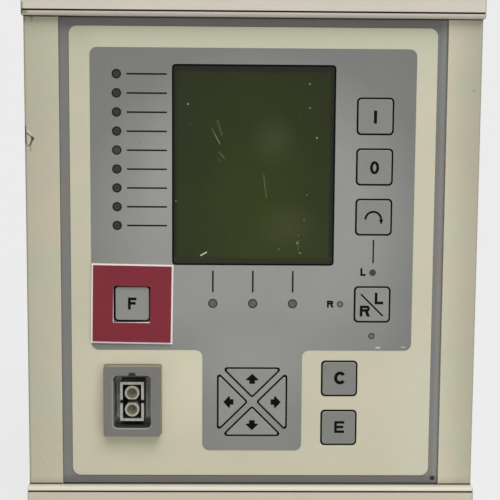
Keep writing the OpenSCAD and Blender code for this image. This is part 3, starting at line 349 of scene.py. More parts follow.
def rail_paint(name):
    """Rails and their name strips: pale film, darker along the ends, with a painted highlight on the bottom rail's
    lip and painted shade in the groove, on the top rail's underside and where the lip meets the panel."""
    g = Graph(name)
    top, bottom, side, height = g.half("top"), g.half("bottom"), g.off("x"), g.off("z")
    base = g.mix(bottom, aged(g, RAIL, RAIL_WARM, 0.025, 0.9, 24), RAIL_LOW)
    base = speckle(g, base, srgb(140, 130, 112), 0.4)
    # Painted highlight on the bottom rail's lip, which faces up to the light
    lip = g.along(height, LIP_EDGE - 0.1, LIP_EDGE - 0.2)
    base = g.mix(g.product(lip, bottom), base, srgb(211, 204, 189))
    # Painted shade where the lips meet the panel: on the top rail's underside and along the bottom rail's lip
    meets = g.along(height, RAIL_EDGE + 0.15, RAIL_EDGE)
    head = g.product(meets, g.along("y", Y_RAIL + 2.9, Y_RAIL + 3.3), top)
    foot = g.product(meets, g.along("y", Y_RAIL + 3.7, Y_RAIL + 4.1), bottom)
    base = g.mix(foot, g.mix(head, base, srgb(84, 74, 60)), srgb(76, 67, 55))
    # Painted shade on the top rail's underside towards its left end
    underside_shade = g.product(g.along(height, RAIL_EDGE + 0.5, RAIL_EDGE + 0.1),
                      g.along("y", Y_RAIL + 1.5, Y_RAIL + 2.1), g.along("x", -84, -98), top)
    base = g.mix(underside_shade, base, srgb(78, 66, 50))
    end = g.product(g.along(side, FRONT_EDGE - 0.55, FRONT_EDGE - 0.1),
                    g.ramp(g.noise(6), 0.25, 0.6, 0.4, 1.0),
                    g.along("y", Y_RAIL + 1.2, Y_RAIL + 0.3))
    base = g.mix(end, base, srgb(132, 124, 108))
    # Wear at the upper left corner
    for at, face, size, soft, rough, grain, colour in (
        ((-111.5, 118.0), -15, (1.0, 1.9), 0.7, 0.5, 1.5, srgb(60, 52, 42)),
        ((-109.4, 118.0), -15.3, (1.4, 0.5), 0.8, 0.5, 1.5, srgb(110, 100, 82)),
        ((-110.4, 117.2), -14.5, (2.4, 0.8), 0.9, 0.6, 1.1, srgb(128, 122, 98)),
        ((-111.3, 120.5), -15, (0.8, 3.2), 0.9, 0.6, 1.4, srgb(140, 132, 112)),
    ):
        base = g.mix(g.spot(at, size, soft, rough, grain, face), base, colour)
    # Painted shade in the groove beside the lip
    groove = g.product(g.between(height, LIP_EDGE - 0.1, LIP_EDGE + 0.75, 0.08),
                       g.along(side, FRONT_EDGE - 0.15, FRONT_EDGE - 0.25))
    base = g.mix(groove, base, g.mix(bottom, srgb(20, 14, 8), srgb(54, 42, 22)))
    g.grain(0.9, 0.012)
    return g.coat(base, (0.36, 0.46), 0.4)


def foil_print():
    """Cream overlay foil: a fine textured film with a few stains; painted shade towards the top and the upper
    left, painted light over the lower left, and painted shade on the cut edges of its openings and where it meets
    the port."""
    g = Graph("foil_cream")
    base = speckle(g, aged(g, CREAM, CREAM_WARM, 0.02, 0.35, 22), srgb(150, 140, 118), 0.4)
    # Stains
    for at, size in (
        ((-42, 108), (0.5, 0.4)), ((70, -92), (0.45, 0.45)), ((-84.6, -30), (0.4, 0.6)),
        ((79.9, -86.2), (0.9, 0.7)), ((82.4, -89.0), (1.4, 0.5)), ((-20, -103), (0.5, 0.5)),
    ):
        base = g.laid(base, g.spot(at, size, 0.8, face=Y_FOIL, deep=3), 0.45, srgb(158, 150, 126))
    # Painted shade: darker and cooler towards the top
    base = g.mix(g.along("z", 70, 104, 0.0, 0.8), base, srgb(190, 191, 167))
    # Painted light: darker at the upper left edge, brighter over the lower left
    left = g.math("MAXIMUM", g.along("x", -83, -74, 0.94, 1.0), g.along("z", -30, -60, 0.94, 1.0))
    base = g.tint(base, g.glow((-42, -58), (46, 40), 0.6, 1.09), left)
    corner = g.product(g.along("x", 66, 80, 0.0, 0.7), g.along("z", -35, -55))
    base = g.mix(corner, base, srgb(201, 200, 178))
    # Painted shade on the cut edges inside its openings
    cut = g.product(g.along(g.off("x"), 89, 88), g.along("y", Y_FOIL + 0.03, Y_FOIL + 0.08))
    base = g.mix(cut, base, srgb(30, 28, 24))
    # Painted shade close round the port
    beside = [g.math("MAXIMUM", g.math("SUBTRACT", g.off(axis, middle), half * MM), 0.0)
              for axis, middle, half in (("x", PORT_X, PORT_HALF_W), ("z", PORT_Z, PORT_HALF_H))]
    far = g.math("SQRT", g.math("ADD", *(g.product(value, value) for value in beside)))
    base = g.tint(base, g.along(far, 0.2, 1.0, 0.72, 1.0))
    g.grain(0.35, 0.006)
    return g.coat(base, (0.46, 0.56), 0.35)


def panel_grey():
    """Operator panel: grey moulding seen as a channel, with painted shade towards the top, inside its openings and
    along the bottom rail, and a painted highlight towards the right strip."""
    g = Graph("channel_grey")
    base = speckle(g, aged(g, CHANNEL, CHANNEL_WARM, 0.03, 0.6, 15), srgb(70, 66, 60), 0.4)
    # Painted shade towards the top and close to the bottom rail, a painted highlight towards the right strip
    base = g.tint(base, g.along("z", -110, 100, 1.08, 0.93),
                  g.along("x", PANEL_EDGE - 2.9, PANEL_EDGE - 0.3, 1.0, 1.4),
                  g.along("z", -RAIL_EDGE + 4.6, -RAIL_EDGE + 3.1, 1.0, 0.8))
    # Painted shade inside the openings
    behind = g.product(g.along("y", Y_PANEL + 0.04, Y_PANEL + 0.12),
                       g.along(g.off("x"), PANEL_EDGE + 0.1, PANEL_EDGE - 0.1))
    base = g.mix(behind, base, srgb(24, 23, 21))
    g.grain(0.6, 0.012)
    return g.coat(base, (0.5, 0.6), 0.35)


def field_print():
    """Grey printed field with small scrapes; painted light makes it paler round the display and the arrow keys,
    darker at its edges.
    """
    g = Graph("field_grey")
    # Painted light: darker towards the edges, the top and the right and in a band across the middle, brighter
    # towards the bottom, beside the display, round the arrow keys and at the lower right
    base = g.tint(
        FIELD,
        g.ramp(g.spot((2, 12), (104.5, 106), 1.0), 0.128, 0.483, 0.67, 1.0),
        g.along("z", -105, -35, 1.1, 1.0),
        g.along("z", 60, 100, 1.0, 0.95),
        g.along("x", 60, 86, 1.0, 0.92),
        g.glow((-42, 45), (16, 45), 0.5, 1.06),
        g.glow((0, -40), (60, 18), 0.7, 0.94),
        g.glow((MIDDLE_X, ARROWS_Z), (42, 42), 1.0, 1.24),
        g.glow((74, -38), (24, 16), 0.6, 1.08),
        g.wander(0.35, 0.98, 1.02),
        g.wander(30, 0.98, 1.02, 2),
    )
    # Scrapes and a dark nick
    for at, size, soft, rough, grain, colour in (
        ((63.2, -46.1), (1.7, 0.55), 0.6, 0.6, 0.9, srgb(206, 192, 186)),
        ((76.0, -45.8), (1.5, 0.45), 0.7, 0.4, 0.8, srgb(190, 184, 172)),
        ((-55.6, 55.8), (0.45, 0.4), 0.7, 0.0, 1.5, srgb(84, 76, 62)),
    ):
        base = g.mix(g.spot(at, size, soft, rough, grain, face=Y_FIELD, deep=3), base, colour)
    g.grain(0.35, 0.006)
    return g.coat(base, (0.46, 0.54), 0.4, patch=10)


def key_plastic(name, share=1.0):
    """Key cap: grey film on the front, darker towards the top as painted shade, a painted highlight on its rim,
    painted shade behind it.
    """
    g = Graph(name)
    fine = g.wander(0.35, 0.975, 1.025)
    # Painted shade: darker towards the top
    cap = g.tint(dimmed(KEY, share), fine, g.wander(9, 0.98, 1.02, 2), g.along("z", -60, 75, 1.05, 0.87))
    # Painted highlight on the rim round the face
    base = g.mix(g.along("y", Y_KEY + 0.03, Y_KEY + 0.07), cap, g.tint(srgb(158, 159, 154), fine))
    # Painted shade on the sides behind the rim
    base = g.mix(g.along("y", Y_KEY + 0.20, Y_KEY + 0.24), base, srgb(9, 9, 8))
    g.grain(0.35, 0.006)
    return g.coat(base, (0.44, 0.54), 0.12, patch=6)


def window_glass():
    """Display window: dark green glass with a black printed edge and a dark inner frame, with smudges, dust and
    scratches; painted light makes the green paler in the middle and lower down, painted shade darkens its inner
    edges."""
    g = Graph("window_tint")
    at = g.vector("SUBTRACT", g.place, (MIDDLE_X * MM, 0, WINDOW_Z * MM))
    x, z = g.axis("x", at), g.axis("z", at)
    # Painted light: paler green in the middle and towards the bottom
    green = g.mix(g.spot((4.0, 27.0), (42, 78), 1.0), srgb(46, 52, 32), srgb(52, 62, 28))
    green = g.tint(green, g.wander(22, 0.95, 1.05), g.along(z, -40, 10, 1.11, 0.98))
    green = g.laid(green, g.spot((9.7, 57), (13, 14), 1.0), 0.6, srgb(66, 78, 50))
    green = g.laid(green, g.spot((17, 15), (17, 13), 1.0), 0.6, srgb(72, 74, 46))
    # Dark border round the green: the display's frame, with painted shade along the window's inner edges
    surround = g.mix(g.along(z, -44, -46), srgb(40, 40, 36), srgb(48, 49, 38))
    soft, left, right, ends = 1.6, 1.2, 1.5, 2.6
    lit = g.product(
        g.between(x, -WINDOW_HALF_W + left + soft, WINDOW_HALF_W - right - soft, soft),
        g.between(z, -WINDOW_HALF_H + ends + soft, WINDOW_HALF_H - ends - soft, soft))
    base = g.mix(lit, surround, green)
    dust = g.product(g.ramp(g.cells(6.5), 0.06, 0.02), g.ramp(g.noise(20, 2), 0.5, 0.6))
    base = g.laid(base, dust, 0.35, srgb(150, 155, 130))
    # Specks
    for spot, size, share in (
        ((-32.0, 74.5), (0.6, 0.6), 0.75), ((27.6, 84.6), (0.48, 0.6), 0.6875),
        ((27.8, 73.0), (0.54, 0.48), 0.625), ((31.4, 58.4), (0.54, 0.72), 0.6875),
        ((26.8, 30.3), (0.42, 0.42), 0.4375), ((25.5, 17.9), (0.42, 0.48), 0.375),
        ((22.1, 6.4), (0.48, 0.72), 0.625), ((23.7, 1.4), (0.72, 0.48), 0.5625),
        ((13.2, 3.4), (0.42, 0.42), 0.375), ((-38.0, 27.0), (0.42, 0.42), 0.625),
        ((22.8, 10.2), (0.36, 0.36), 0.4375),
    ):
        base = g.laid(base, g.spot(spot, size, 0.8, face=Y_GLASS, deep=3), share, srgb(186, 190, 168))
    # Scratches
    faint, bright = srgb(150, 156, 128), srgb(222, 226, 186)
    for a, b, width, share, colour in (
        ((-20.3, 62.6), (-16.35, 55.3), 0.4, 0.308, faint), ((-18.6, 59.4), (-16.35, 55.3), 0.4, 0.42, faint),
        ((-17.6, 66.3), (-15.4, 59.9), 1.2, 0.112, faint), ((-16.7, 51.2), (-14.1, 48.3), 0.5, 0.28, faint),
        ((-17.4, 48.1), (-15.6, 46.4), 0.4, 0.14, faint), ((5.4, 39.9), (5.9, 34.5), 0.6, 0.182, faint),
        ((5.9, 34.5), (6.8, 28.8), 0.45, 0.21, faint), ((22.9, 7.6), (22.7, 2.6), 0.25, 0.35, faint),
        ((-25.7, 0.0), (-22.8, 1.55), 0.5, 0.85, bright),
    ):
        base = g.laid(base, g.stroke(a, b, width), share, colour)
    flat = g.vector("MULTIPLY", g.vector("ABSOLUTE", at), (1, 0, 1))
    straight = ((WINDOW_HALF_W - WINDOW_R) * MM, 0, (WINDOW_HALF_H - WINDOW_R) * MM)
    corner = g.vector("MAXIMUM", g.vector("SUBTRACT", flat, straight), (0, 0, 0))
    edge = g.along(g.vector("LENGTH", corner), WINDOW_R - 0.75, WINDOW_R - 0.6)
    base = g.mix(edge, base, srgb(8, 8, 7))
    return g.coat(base, (0.22, 0.34), 0.06, patch=3)


def lamp_lens(name, colour, odd=None):
    """Lamp lens or its rim: cloudy plastic. odd is the place and colour of a lamp that differs."""
    g = Graph(name)
    base = g.tint(colour, g.wander(1.6, 0.85, 1.15))
    if odd:
        base = g.mix(g.spot(odd[0], (3, 3), 0.1), base, odd[1])
    g.bump(g.noise(0.5, 2), 0.01)
    return g.coat(base, (0.3, 0.45), 0.1, patch=2, detail=3)


def port_plastic():
    """Service port's bezel: grey face; a painted reflection of the cream foil on its sides, a painted highlight on
    the chamfer round its socket, painted light and shade on the walls inside it.
    """
    g = Graph("port_grey")
    off_x, off_z = g.off("x", PORT_X), g.off("z", PORT_Z)

    def within(half_w, half_h):
        return g.product(g.along(off_x, half_w + 0.05, half_w), g.along(off_z, half_h + 0.05, half_h))

    behind = g.along("y", Y_PORT + 0.03, Y_PORT + 0.08)
    outside = g.math("SUBTRACT", 1.0, within(PORT_HALF_W - 0.05, PORT_HALF_H - 0.05))
    opening = within(SOCKET_HALF_W, SOCKET_HALF_H)
    base = g.mix(g.ramp(g.noise(9, 2), 0.35, 0.65), srgb(114, 115, 112), srgb(118, 115, 109))
    base = g.tint(base, g.wander(0.5, 0.97, 1.03))
    top = PORT_Z + PORT_HALF_H
    # Painted reflection of the cream foil on the bezel's sides, a little darker along the top side
    reflected_cream = g.mix(g.along("z", top - 0.3, top - 0.1), srgb(150, 143, 126), srgb(146, 138, 120))
    base = g.mix(g.product(behind, outside), base, reflected_cream)
    # Painted highlight on the chamfer round the socket
    base = g.mix(g.product(behind, opening), base, srgb(146, 147, 142))
    # Walls inside: painted light in the middle, painted shade at their top and bottom
    wall = g.mix(g.between("z", PORT_Z - 11.1, PORT_Z + 9.9, 1.5), srgb(52, 51, 49), srgb(140, 141, 134))
    # Painted light in the deep notch above the sleeves
    wall = g.mix(g.along("z", PORT_Z + 11.7, PORT_Z + 12.3), wall, srgb(214, 206, 222))
    inside = g.product(g.along("y", Y_PORT + 0.45, Y_PORT + 0.55), opening)
    base = g.mix(inside, base, wall)
    g.grain(0.5, 0.01)
    return g.coat(base, (0.46, 0.56), 0.3, patch=6)


def socket_plastic():
    """Inside of the socket: grey with upright moulded ribs; painted light in the middle and the notch, painted
    shade at its head and foot and behind the sleeves.
    """
    g = Graph("port_black")
    # Painted light in the middle, painted shade at the head and foot
    base = g.mix(g.between("z", PORT_Z - 11.1, PORT_Z + 8.4, 1.5), srgb(118, 114, 112), srgb(212, 212, 204))
    # Painted light in the deep notch above the sleeves
    base = g.mix(g.along("z", PORT_Z + 10.7, PORT_Z + 11.7), base, srgb(226, 218, 232))
    # Painted shade behind the sleeves
    sleeves = g.product(g.between("x", OPTIC_X - 4.6, OPTIC_X + 4.6, 0.2),
                        g.between("z", PORT_Z - 9.5, PORT_Z + 7.7, 0.2))
    base = g.mix(sleeves, base, srgb(16, 15, 15))
    ribs = g.ramp(g.noise(1.1, 2, 0.5, (1, 1, 0.03)), 0.35, 0.65, 0.72, 1.2)
    g.grain(0.5, 0.012)
    return g.coat(g.tint(base, ribs), (0.5, 0.6), 0.2)


def sleeve_plastic():
    """Split sleeves: pale plastic with fine cross grooves, dark at the split, with painted shade on their sides
    and inside.
    """
    g = Graph("sleeve_pale")
    teeth = g.math("MINIMUM", *(g.ramp(g.noise(0.75, 1, 0.4, stretch), 0.36, 0.5)
                                for stretch in ((1, 0.05, 0.3), (0.3, 0.05, 1))))
    base = g.mix(teeth, srgb(166, 166, 160), srgb(182, 181, 174))
    split = sum(OPTIC_Z) / 2
    # Painted shade on the sides and inside
    base = g.mix(g.along("y", Y_SLEEVE + 0.04, Y_SLEEVE + 0.12), base, srgb(72, 71, 68))
    base = g.mix(g.between("z", split - 0.8, split + 0.8, 0.2), base, srgb(34, 30, 34))
    g.bump(teeth, 0.05)
    return g.coat(base, (0.42, 0.52), 0.3, patch=4, detail=3)


def optic_plastic():
    """Optical ends: pale rims round mottled olive bores with a dark middle and a small bright core."""
    g = Graph("optic_pale")
    base = g.tint(srgb(172, 170, 156), g.wander(0.8, 0.9, 1.1))
    for end_z in OPTIC_Z:
        for dx, dz, size, soft, rough, grain, colour in (
            (0.0, 0.0, (2.85, 2.85), 0.12, 0.0, 1.5, srgb(134, 130, 112)),
            (0.0, 0.0, (2.2, 2.2), 0.6, 0.35, 0.9, srgb(78, 74, 54)),
            (-0.1, 0.1, (0.5, 0.45), 0.6, 0.2, 0.8, srgb(150, 148, 130)),
            (1.1, -1.1, (0.7, 0.5), 0.8, 0.3, 0.8, srgb(140, 136, 112)),
        ):
            base = g.mix(g.spot((OPTIC_X + dx, end_z + dz), size, soft, rough, grain), base, colour)
    g.grain(0.6, 0.01)
    return g.coat(base, (0.34, 0.46), 0.3, patch=3, detail=3)


def plate_red():
    """Red face of the plate round the F key, with fine scratches."""
    g = Graph("label_red")
    base = g.tint(RED, g.wander(0.6, 0.9, 1.1, 4), g.wander(16, 0.94, 1.06))
    lines = g.noise(0.5, 4, 0.6, (0.15, 1, 1))
    base = g.mix(g.ramp(lines, 0.68, 0.78, 0, 0.25), base, srgb(176, 96, 104))
    g.bump(lines, 0.006)
    return g.coat(base, (0.38, 0.5), 0.25, patch=5)


def plate_pale():
    """Pale core of that plate, dark in the shade close to the key."""
    g = Graph("label_pale")
    key_x, key_z = KEYS["function"]
    far = g.math("MAXIMUM", g.off("x", key_x), g.off("z", key_z))
    base = g.tint(PALE, g.wander(0.5, 0.97, 1.03))
    base = g.mix(g.along(far, 9.32, 9.22), base, srgb(20, 18, 17))
    g.grain(0.5, 0.008)
    return g.coat(base, (0.45, 0.56), 0.3)


paint = {
    "frame_paint": frame_paint(),
    "rail_paint": rail_paint("rail_paint"),
    "name_film": rail_paint("name_film"),
    "gasket_rubber": moulded("gasket_rubber", srgb(38, 38, 37), 0.75),
    "channel_grey": panel_grey(),
    "foil_cream": foil_print(),
    "field_grey": field_print(),
    "label_pale": plate_pale(),
    "label_red": plate_red(),
    "black_steel": metal("black_steel", srgb(70, 68, 64), 0.5, metallic=0.5, grain_mm=0.5),
    "window_tint": window_glass(),
    "display_black": moulded("display_black", srgb(30, 30, 29), 0.5),
    "display_green": painted("display_green", srgb(52, 66, 34), 0.25, 0.04, 2.0, 0.002),
    "lamp_dark": lamp_lens("lamp_dark", srgb(54, 55, 50), ((ALARM_X, ALARM_Z[4]), srgb(64, 65, 60))),
    "lamp_status": lamp_lens("lamp_status", srgb(94, 95, 90)),
    "lamp_control": lamp_lens("lamp_control", srgb(108, 109, 104), (LOCAL_LAMP, srgb(66, 67, 63))),
    "key_grey": key_plastic("key_grey"),
    "key_grey_dim": key_plastic("key_grey_dim", 0.80),
    "black_plastic": moulded("black_plastic", srgb(33, 33, 32)),
    "board_green": board("board_green"),
    "port_grey": port_plastic(),
    "port_black": socket_plastic(),
    "sleeve_pale": sleeve_plastic(),
    "optic_pale": optic_plastic(),
    "case_aluminium": metal("case_aluminium", srgb(176, 178, 178), 0.42, (1, 0.06, 1)),
    "zinc_steel": metal("zinc_steel", srgb(186, 186, 180), 0.32),
    "core_steel": metal("core_steel", srgb(112, 112, 114), 0.5, (1, 8, 1)),
    "coil_tape": painted("coil_tape", srgb(190, 140, 60), 0.4, 0.06, 1.0, 0.02),
    "capacitor_sleeve": painted("capacitor_sleeve", srgb(40, 48, 78), 0.35, 0.05, 1.0, 0.004),
    "relay_plastic": moulded("relay_plastic", srgb(205, 200, 190), 0.45),
    "terminal_plastic": moulded("terminal_plastic", srgb(52, 54, 52), 0.55),
}
ink = painted("print_ink", INK, 0.6, 0.06, 0.4, 0.003, 0.05)
rim_dark = lamp_lens("lamp_rim_dark", srgb(24, 24, 22))
rim_grey = lamp_lens("lamp_rim_grey", srgb(54, 54, 51))
rim_pale = lamp_lens("lamp_rim_pale", srgb(70, 71, 67))

# The nodes of each finish. The nodes that aren't listed are the other keys.
DRESSED = {
    "frame_paint": ("front_frame",),
    "rail_paint": ("top_rail", "bottom_rail"),
    "name_film": ("top_name_strip", "bottom_name_strip"),
    "gasket_rubber": ("panel_gasket",),
    "channel_grey": ("operator_panel",),
    "foil_cream": ("overlay_foil",),
    "field_grey": ("grey_field",),
    "label_pale": ("label_core",),
    "label_red": ("label_face",),
    "black_steel": ("corner_screw",),
    "window_tint": ("display_window",),
    "display_black": ("display_bezel",),
    "display_green": ("display_glass",),
    "lamp_dark": ("alarm_lamps",),
    "lamp_status": ("status_lamps",),
    "lamp_control": ("control_lamps",),
    "key_grey_dim": ("key_clear", "key_enter"),
    "black_plastic": ("key_switches", "board_link", "card_connectors", "card_guides", "processor_chips"),
    "board_green": ("operator_board", "mother_board", "transformer_card", "processor_card", "power_card",
                    "relay_cards"),
    "port_grey": ("port_bezel",),
    "port_black": ("port_socket",),
    "sleeve_pale": ("port_sleeves",),
    "optic_pale": ("optical_ends",),
    "case_aluminium": ("left_side_plate", "right_side_plate", "top_cover", "bottom_cover", "rear_panel"),
    "zinc_steel": ("case_screws", "terminal_screws", "serial_port", "earth_stud", "earth_nut"),
    "core_steel": ("transformer_cores",),
    "coil_tape": ("transformer_coils",),
    "capacitor_sleeve": ("power_parts",),
    "relay_plastic": ("output_relays",),
    "terminal_plastic": ("terminal_blocks", "current_terminals"),
}
finish_of = {name: finish for finish, names in DRESSED.items() for name in names}
for name, thing in nodes.items():
    for place in thing.material_slots:
        place.material = paint[finish_of.get(name, "key_grey")]


# Flat printed pieces, drawn in X and Z in millimetres

def arc(middle, rx, rz, start, end, steps):
    points = []
    for i in range(steps + 1):
        turn = math.radians(start + (end - start) * i / steps)
        points.append((middle[0] + rx * math.cos(turn), middle[1] + rz * math.sin(turn)))
    return points


def curved(middle, outer, inner, start, end, steps):
    """A curved stroke, as quads between two ellipses, each given by its half width and half height."""
    far, near = (arc(middle, *half, start, end, steps) for half in (outer, inner))
    return [[far[i], far[i + 1], near[i + 1], near[i]] for i in range(steps)]


def ring(middle, outer, inner):
    return curved(middle, (outer, outer), (inner, inner), 0, 360, 40)


def box(x0, z0, x1, z1):
    return [(x0, z0), (x1, z0), (x1, z1), (x0, z1)]


def bar(a, b, width):
    """A straight stroke between two points."""
    dx, dz = b[0] - a[0], b[1] - a[1]
    length = math.hypot(dx, dz)
    nx, nz = -dz / length * width / 2, dx / length * width / 2
    return [(a[0] + nx, a[1] + nz), (a[0] - nx, a[1] - nz), (b[0] - nx, b[1] - nz), (b[0] + nx, b[1] + nz)]


def line(x0, z0, x1, z1):
    """A printed line with rounded ends."""
    r, steps = 0.25, 4
    corners = ((x1 - r, z1 - r), (x0 + r, z1 - r), (x0 + r, z0 + r), (x1 - r, z0 + r))
    return [point for i, corner in enumerate(corners) for point in arc(corner, r, r, i * 90, (i + 1) * 90, steps)]


def moved(shapes, dx, dz):
    return [[(x + dx, z + dz) for x, z in shape] for shape in shapes]


def letter_l(w, h, t):
    left, right, low, high = -w / 2, w / 2, -h / 2, h / 2
    return [[(left, low), (right, low), (right, low + t), (left + t, low + t), (left + t, high), (left, high)]]


def letter_f(w, h, t):
    left, right, low, high = -w / 2, w / 2, -h / 2, h / 2
    arm, mid = w * 0.4, h * 0.02
    return [[(left, low), (left + t, low), (left + t, mid - t / 2), (arm, mid - t / 2), (arm, mid + t / 2),
             (left + t, mid + t / 2), (left + t, high - t), (right, high - t), (right, high), (left, high)]]


def letter_e(w, h, t):
    left, right, low, high = -w / 2, w / 2, -h / 2, h / 2
    arm = w * 0.42
    return [[(left, low), (right, low), (right, low + t), (left + t, low + t), (left + t, -t / 2),
             (arm, -t / 2), (arm, t / 2), (left + t, t / 2), (left + t, high - t), (right, high - t),
             (right, high), (left, high)]]


def letter_c(w, h, t):
    mouth = 36
    return curved((0, 0), (w / 2, h / 2), (w / 2 - t, h / 2 - t), mouth, 360 - mouth, 36)


def letter_r(w, h, t):
    left, right, low, high = -w / 2, w / 2, -h / 2, h / 2
    bowl = h * 0.56
    waist, r = high - bowl, bowl / 2
    bend = right - r
    return [
        box(left, low, left + t, high),
        box(left + t, high - t, bend, high),
        box(left + t, waist, bend, waist + t),
        *curved((bend, high - r), (r, r), (r - t, r - t), 90, -90, 18),
        [(bend - t * 0.7, waist), (right - t * 1.15, low), (right + t * 0.1, low), (bend + t * 0.55, waist)],
    ]


def arrow(turn):
    """A short fat arrow, pointing up before it is turned."""
    half = [(0, 2.5), (3.15, -0.4), (2.85, -0.75), (1.4, -0.95), (1.4, -2.6)]
    points = half + [(-x, z) for x, z in half[:0:-1]]
    c, s = math.cos(math.radians(turn)), math.sin(math.radians(turn))
    return [[(x * c - z * s, x * s + z * c) for x, z in points]]


def print_piece(name, shapes, front, material, body="housing", at=(0, 0), thick=PRINT_T):
    """Flat shapes as one thin raised piece whose face lies at front along Y."""
    mesh = bpy.data.meshes.new(name)
    bm = bmesh.new()
    for shape in shapes:
        area = sum(a[0] * b[1] - b[0] * a[1] for a, b in zip(shape, shape[1:] + shape[:1]))
        points = shape if area > 0 else shape[::-1]
        near = [bm.verts.new(((x + at[0]) * MM, front * MM, (z + at[1]) * MM)) for x, z in points]
        back = [bm.verts.new((v.co.x, v.co.y + thick * MM, v.co.z)) for v in near]
        bm.faces.new(near)
        bm.faces.new(back[::-1])
        for i in range(len(near)):
            j = (i + 1) % len(near)
            bm.faces.new((near[j], near[i], back[i], back[j]))
    bmesh.ops.remove_doubles(bm, verts=bm.verts, dist=1e-7)
    bmesh.ops.recalc_face_normals(bm, faces=bm.faces)
    bm.to_mesh(mesh)
    bm.free()
    piece = bpy.data.objects.new(name, mesh)
    bpy.context.scene.collection.objects.link(piece)
    mesh.materials.append(material)
    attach(piece, body)


half_turn = curved((-0.2, -1.2), (4.4, 4.4), (3.38, 3.38), 0, 180, 36)
half_turn.append([(2.68, -1.2), (4.78, -1.2), (3.75, -3.7)])
legends = {
    "close": [box(-0.76, -3.5, 0.76, 2.85)],
    "open": curved((0, -0.3), (2.25, 3.2), (0.85, 1.9), 0, 360, 48),
    "select": half_turn,
    "local_remote": [bar((-5.7, 5.25), (5.4, -5.75), 0.8), *moved(letter_l(4.3, 5.8, 1.35), 3.4, 3.05),
                     *moved(letter_r(5.0, 5.5, 1.3), -3.6, -3.3)],
    "function": letter_f(4.2, 6.0, 1.35),
    "clear": moved(letter_c(6.0, 6.6, 1.62), 0.4, 0.35),
    "enter": moved(letter_e(5.0, 6.1, 1.28), 0.35, 0.35),
}
on_key, on_field, on_lens = Y_KEY - PRINT_T, Y_FIELD - PRINT_T, Y_FIELD + LENS_SUNK - RIM_T
for name, shapes in legends.items():
    print_piece("legend_" + name, shapes, on_key, ink, name + "_key", KEYS[name])
for name, turn in (("up", 0), ("left", 90), ("down", 180), ("right", 270)):
    angle = math.radians(turn)
    at = (MIDDLE_X - ARROW_REACH * math.sin(angle), ARROWS_Z + ARROW_REACH * math.cos(angle))
    print_piece("legend_" + name, arrow(turn), on_key, ink, name + "_key", at)

print_piece("alarm_lines", [line(-62.1, z - 0.38, -42.35, z + 0.38) for z in ALARM_Z], on_field, ink)
print_piece("status_lines", [line(x - 0.4, -18.4, x + 0.4, -7.5) for x in STATUS_X], on_field, ink)
print_piece("select_line", [line(59.8, -3.5, 60.5, 8.3)], on_field, ink)
print_piece("local_mark", letter_l(2.6, 3.9, 1.0), on_field, ink, at=(55.2, -7.9))
print_piece("remote_mark", letter_r(3.2, 3.5, 0.9), on_field, ink, at=(39.05, -24.1))
for name, places, outer, inner, rim in (
    ("alarm_rims", [(ALARM_X, z) for z in ALARM_Z], 2.3, 1.7, rim_dark),
    ("status_rims", [(x, STATUS_Z) for x in STATUS_X], 2.3, 1.75, rim_grey),
    ("control_rims", [REMOTE_LAMP, LOWER_LAMP], 1.6, 1.05, rim_pale),
    ("control_rim_local", [LOCAL_LAMP], 1.6, 1.2, rim_grey),
):
    quads = [quad for place in places for quad in ring(place, outer, inner)]
    print_piece(name, quads, on_lens, rim, thick=RIM_T)


# Stage, light and camera

PAPER = srgb(236, 236, 236)
AMBIENT = 0.30
FLOOR_HALF = 6


def seen_directly(tree):
    """1 for camera, mirror and glass rays."""
    path = node(tree, "ShaderNodeLightPath").outputs
    seen = path["Is Camera Ray"]
    for ray in ("Is Glossy Ray", "Is Transmission Ray"):
        seen = node(tree, "ShaderNodeMath", ((0, seen), (1, path[ray])), operation="MAXIMUM").outputs[0]
    return seen


def mixed(tree, share, a, b):
    return node(tree, "ShaderNodeMixShader", ((0, share), (1, a.outputs[0]), (2, b.outputs[0])))


def paper_floor():
    """Pale paper that keeps a faint shadow close to the object and fades into the background further out."""
    material = bpy.data.materials.new("paper_floor")
    material.use_nodes = True
    tree = material.node_tree
    tree.nodes.clear()
    place = node(tree, "ShaderNodeTexCoord").outputs["Object"]
    far = node(tree, "ShaderNodeVectorMath", ((0, place),), operation="LENGTH").outputs["Value"]
    fade = node(tree, "ShaderNodeMapRange", (("Value", far), ("From Min", 0.4), ("From Max", 1.6),
                                             ("To Min", 0.88), ("To Max", 1.0))).outputs["Result"]
    matt = node(tree, "ShaderNodeBsdfDiffuse", (("Color", srgb(250, 250, 250)),))
    glow = node(tree, "ShaderNodeEmission", (("Color", PAPER),))
    dull = node(tree, "ShaderNodeBsdfDiffuse", (("Color", srgb(200, 200, 200)),))
    shown = mixed(tree, seen_directly(tree), dull, mixed(tree, fade, matt, glow))
    node(tree, "ShaderNodeOutputMaterial", (("Surface", shown.outputs[0]),))
    return material


floor_z = cad_box[0][2]
mesh = bpy.data.meshes.new("floor")
corners = [(x * FLOOR_HALF, y * FLOOR_HALF, floor_z) for x, y in ((-1, -1), (1, -1), (1, 1), (-1, 1))]
mesh.from_pydata(corners, [], [(0, 1, 2, 3)])
floor = bpy.data.objects.new("floor", mesh)
bpy.context.scene.collection.objects.link(floor)
mesh.materials.append(paper_floor())

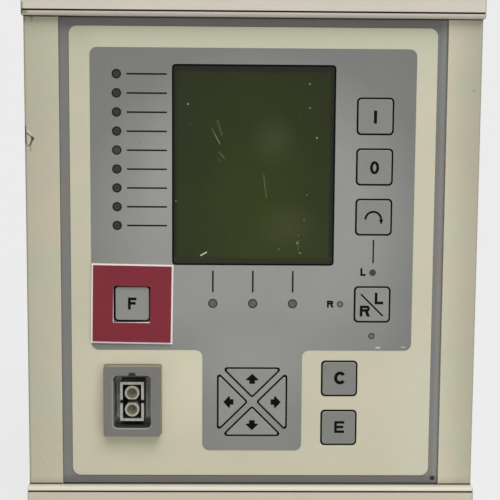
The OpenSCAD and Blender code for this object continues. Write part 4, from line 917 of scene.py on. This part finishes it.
world = bpy.data.worlds.new("studio")
bpy.context.scene.world = world
world.use_nodes = True
tree = world.node_tree
tree.nodes.clear()
soft = node(tree, "ShaderNodeBackground", (("Color", (1, 1, 1, 1)), ("Strength", AMBIENT)))
seen = node(tree, "ShaderNodeBackground", (("Color", PAPER), ("Strength", 1.0)))
sky = mixed(tree, seen_directly(tree), soft, seen)
node(tree, "ShaderNodeOutputWorld", (("Surface", sky.outputs[0]),))

# Name, place and aim in metres, size in metres, power in watts, and whether gloss shows the lamp
for name, at, aim, size, power, mirrored in (
    ("key_light", (0.55, -2.1, 3.0), (0, 0, 0), (3.0, 2.4), 108, True),
    ("front_fill", (0.05, -0.65, -0.02), (0, 0, -0.06), (0.5, 0.2), 0.47, False),
    ("right_fill", (0.6, -0.8, -0.03), (0, 0, -0.06), (0.3, 0.18), 0.85, False),
    ("rear_fill", (0.5, 1.6, 0.9), (0, 0.1, 0), (1.2, 1.0), 8, True),
):
    light = bpy.data.lights.new(name, "AREA")
    light.shape = "RECTANGLE"
    light.size, light.size_y = size
    light.energy = power
    lamp = bpy.data.objects.new(name, light)
    bpy.context.scene.collection.objects.link(lamp)
    lamp.location = at
    lamp.rotation_euler = (Vector(aim) - Vector(at)).to_track_quat("-Z", "Y").to_euler()
    lamp.visible_camera = False
    lamp.visible_glossy = mirrored

# The photograph's camera, as fitted: its place in millimetres and its turns in degrees
CAMERA_AT = (-8.78, -504.1, 49.59)
PITCH, YAW, ROLL = (math.radians(v) for v in (-5.399, -0.877, 0.379))
camera_data = bpy.data.cameras.new("photo_camera")
camera_data.sensor_width = 36
camera_data.lens = 72
camera_data.clip_start = 0.01
camera = bpy.data.objects.new("photo_camera", camera_data)
bpy.context.scene.collection.objects.link(camera)
facing = Matrix(((1, 0, 0), (0, 0, 1), (0, 1, 0)))
swing = Matrix.Rotation(YAW, 3, "Z") @ Matrix.Rotation(PITCH, 3, "X")
lean = Matrix(((math.cos(ROLL), math.sin(ROLL), 0), (-math.sin(ROLL), math.cos(ROLL), 0), (0, 0, 1)))
right, up, ahead = lean @ facing @ swing.transposed()
turned = Matrix((right, up, -ahead)).transposed()
camera.matrix_world = Matrix.Translation([v * MM for v in CAMERA_AT]) @ turned.to_4x4()
bpy.context.scene.camera = camera
bpy.context.scene.view_settings.view_transform = "Standard"
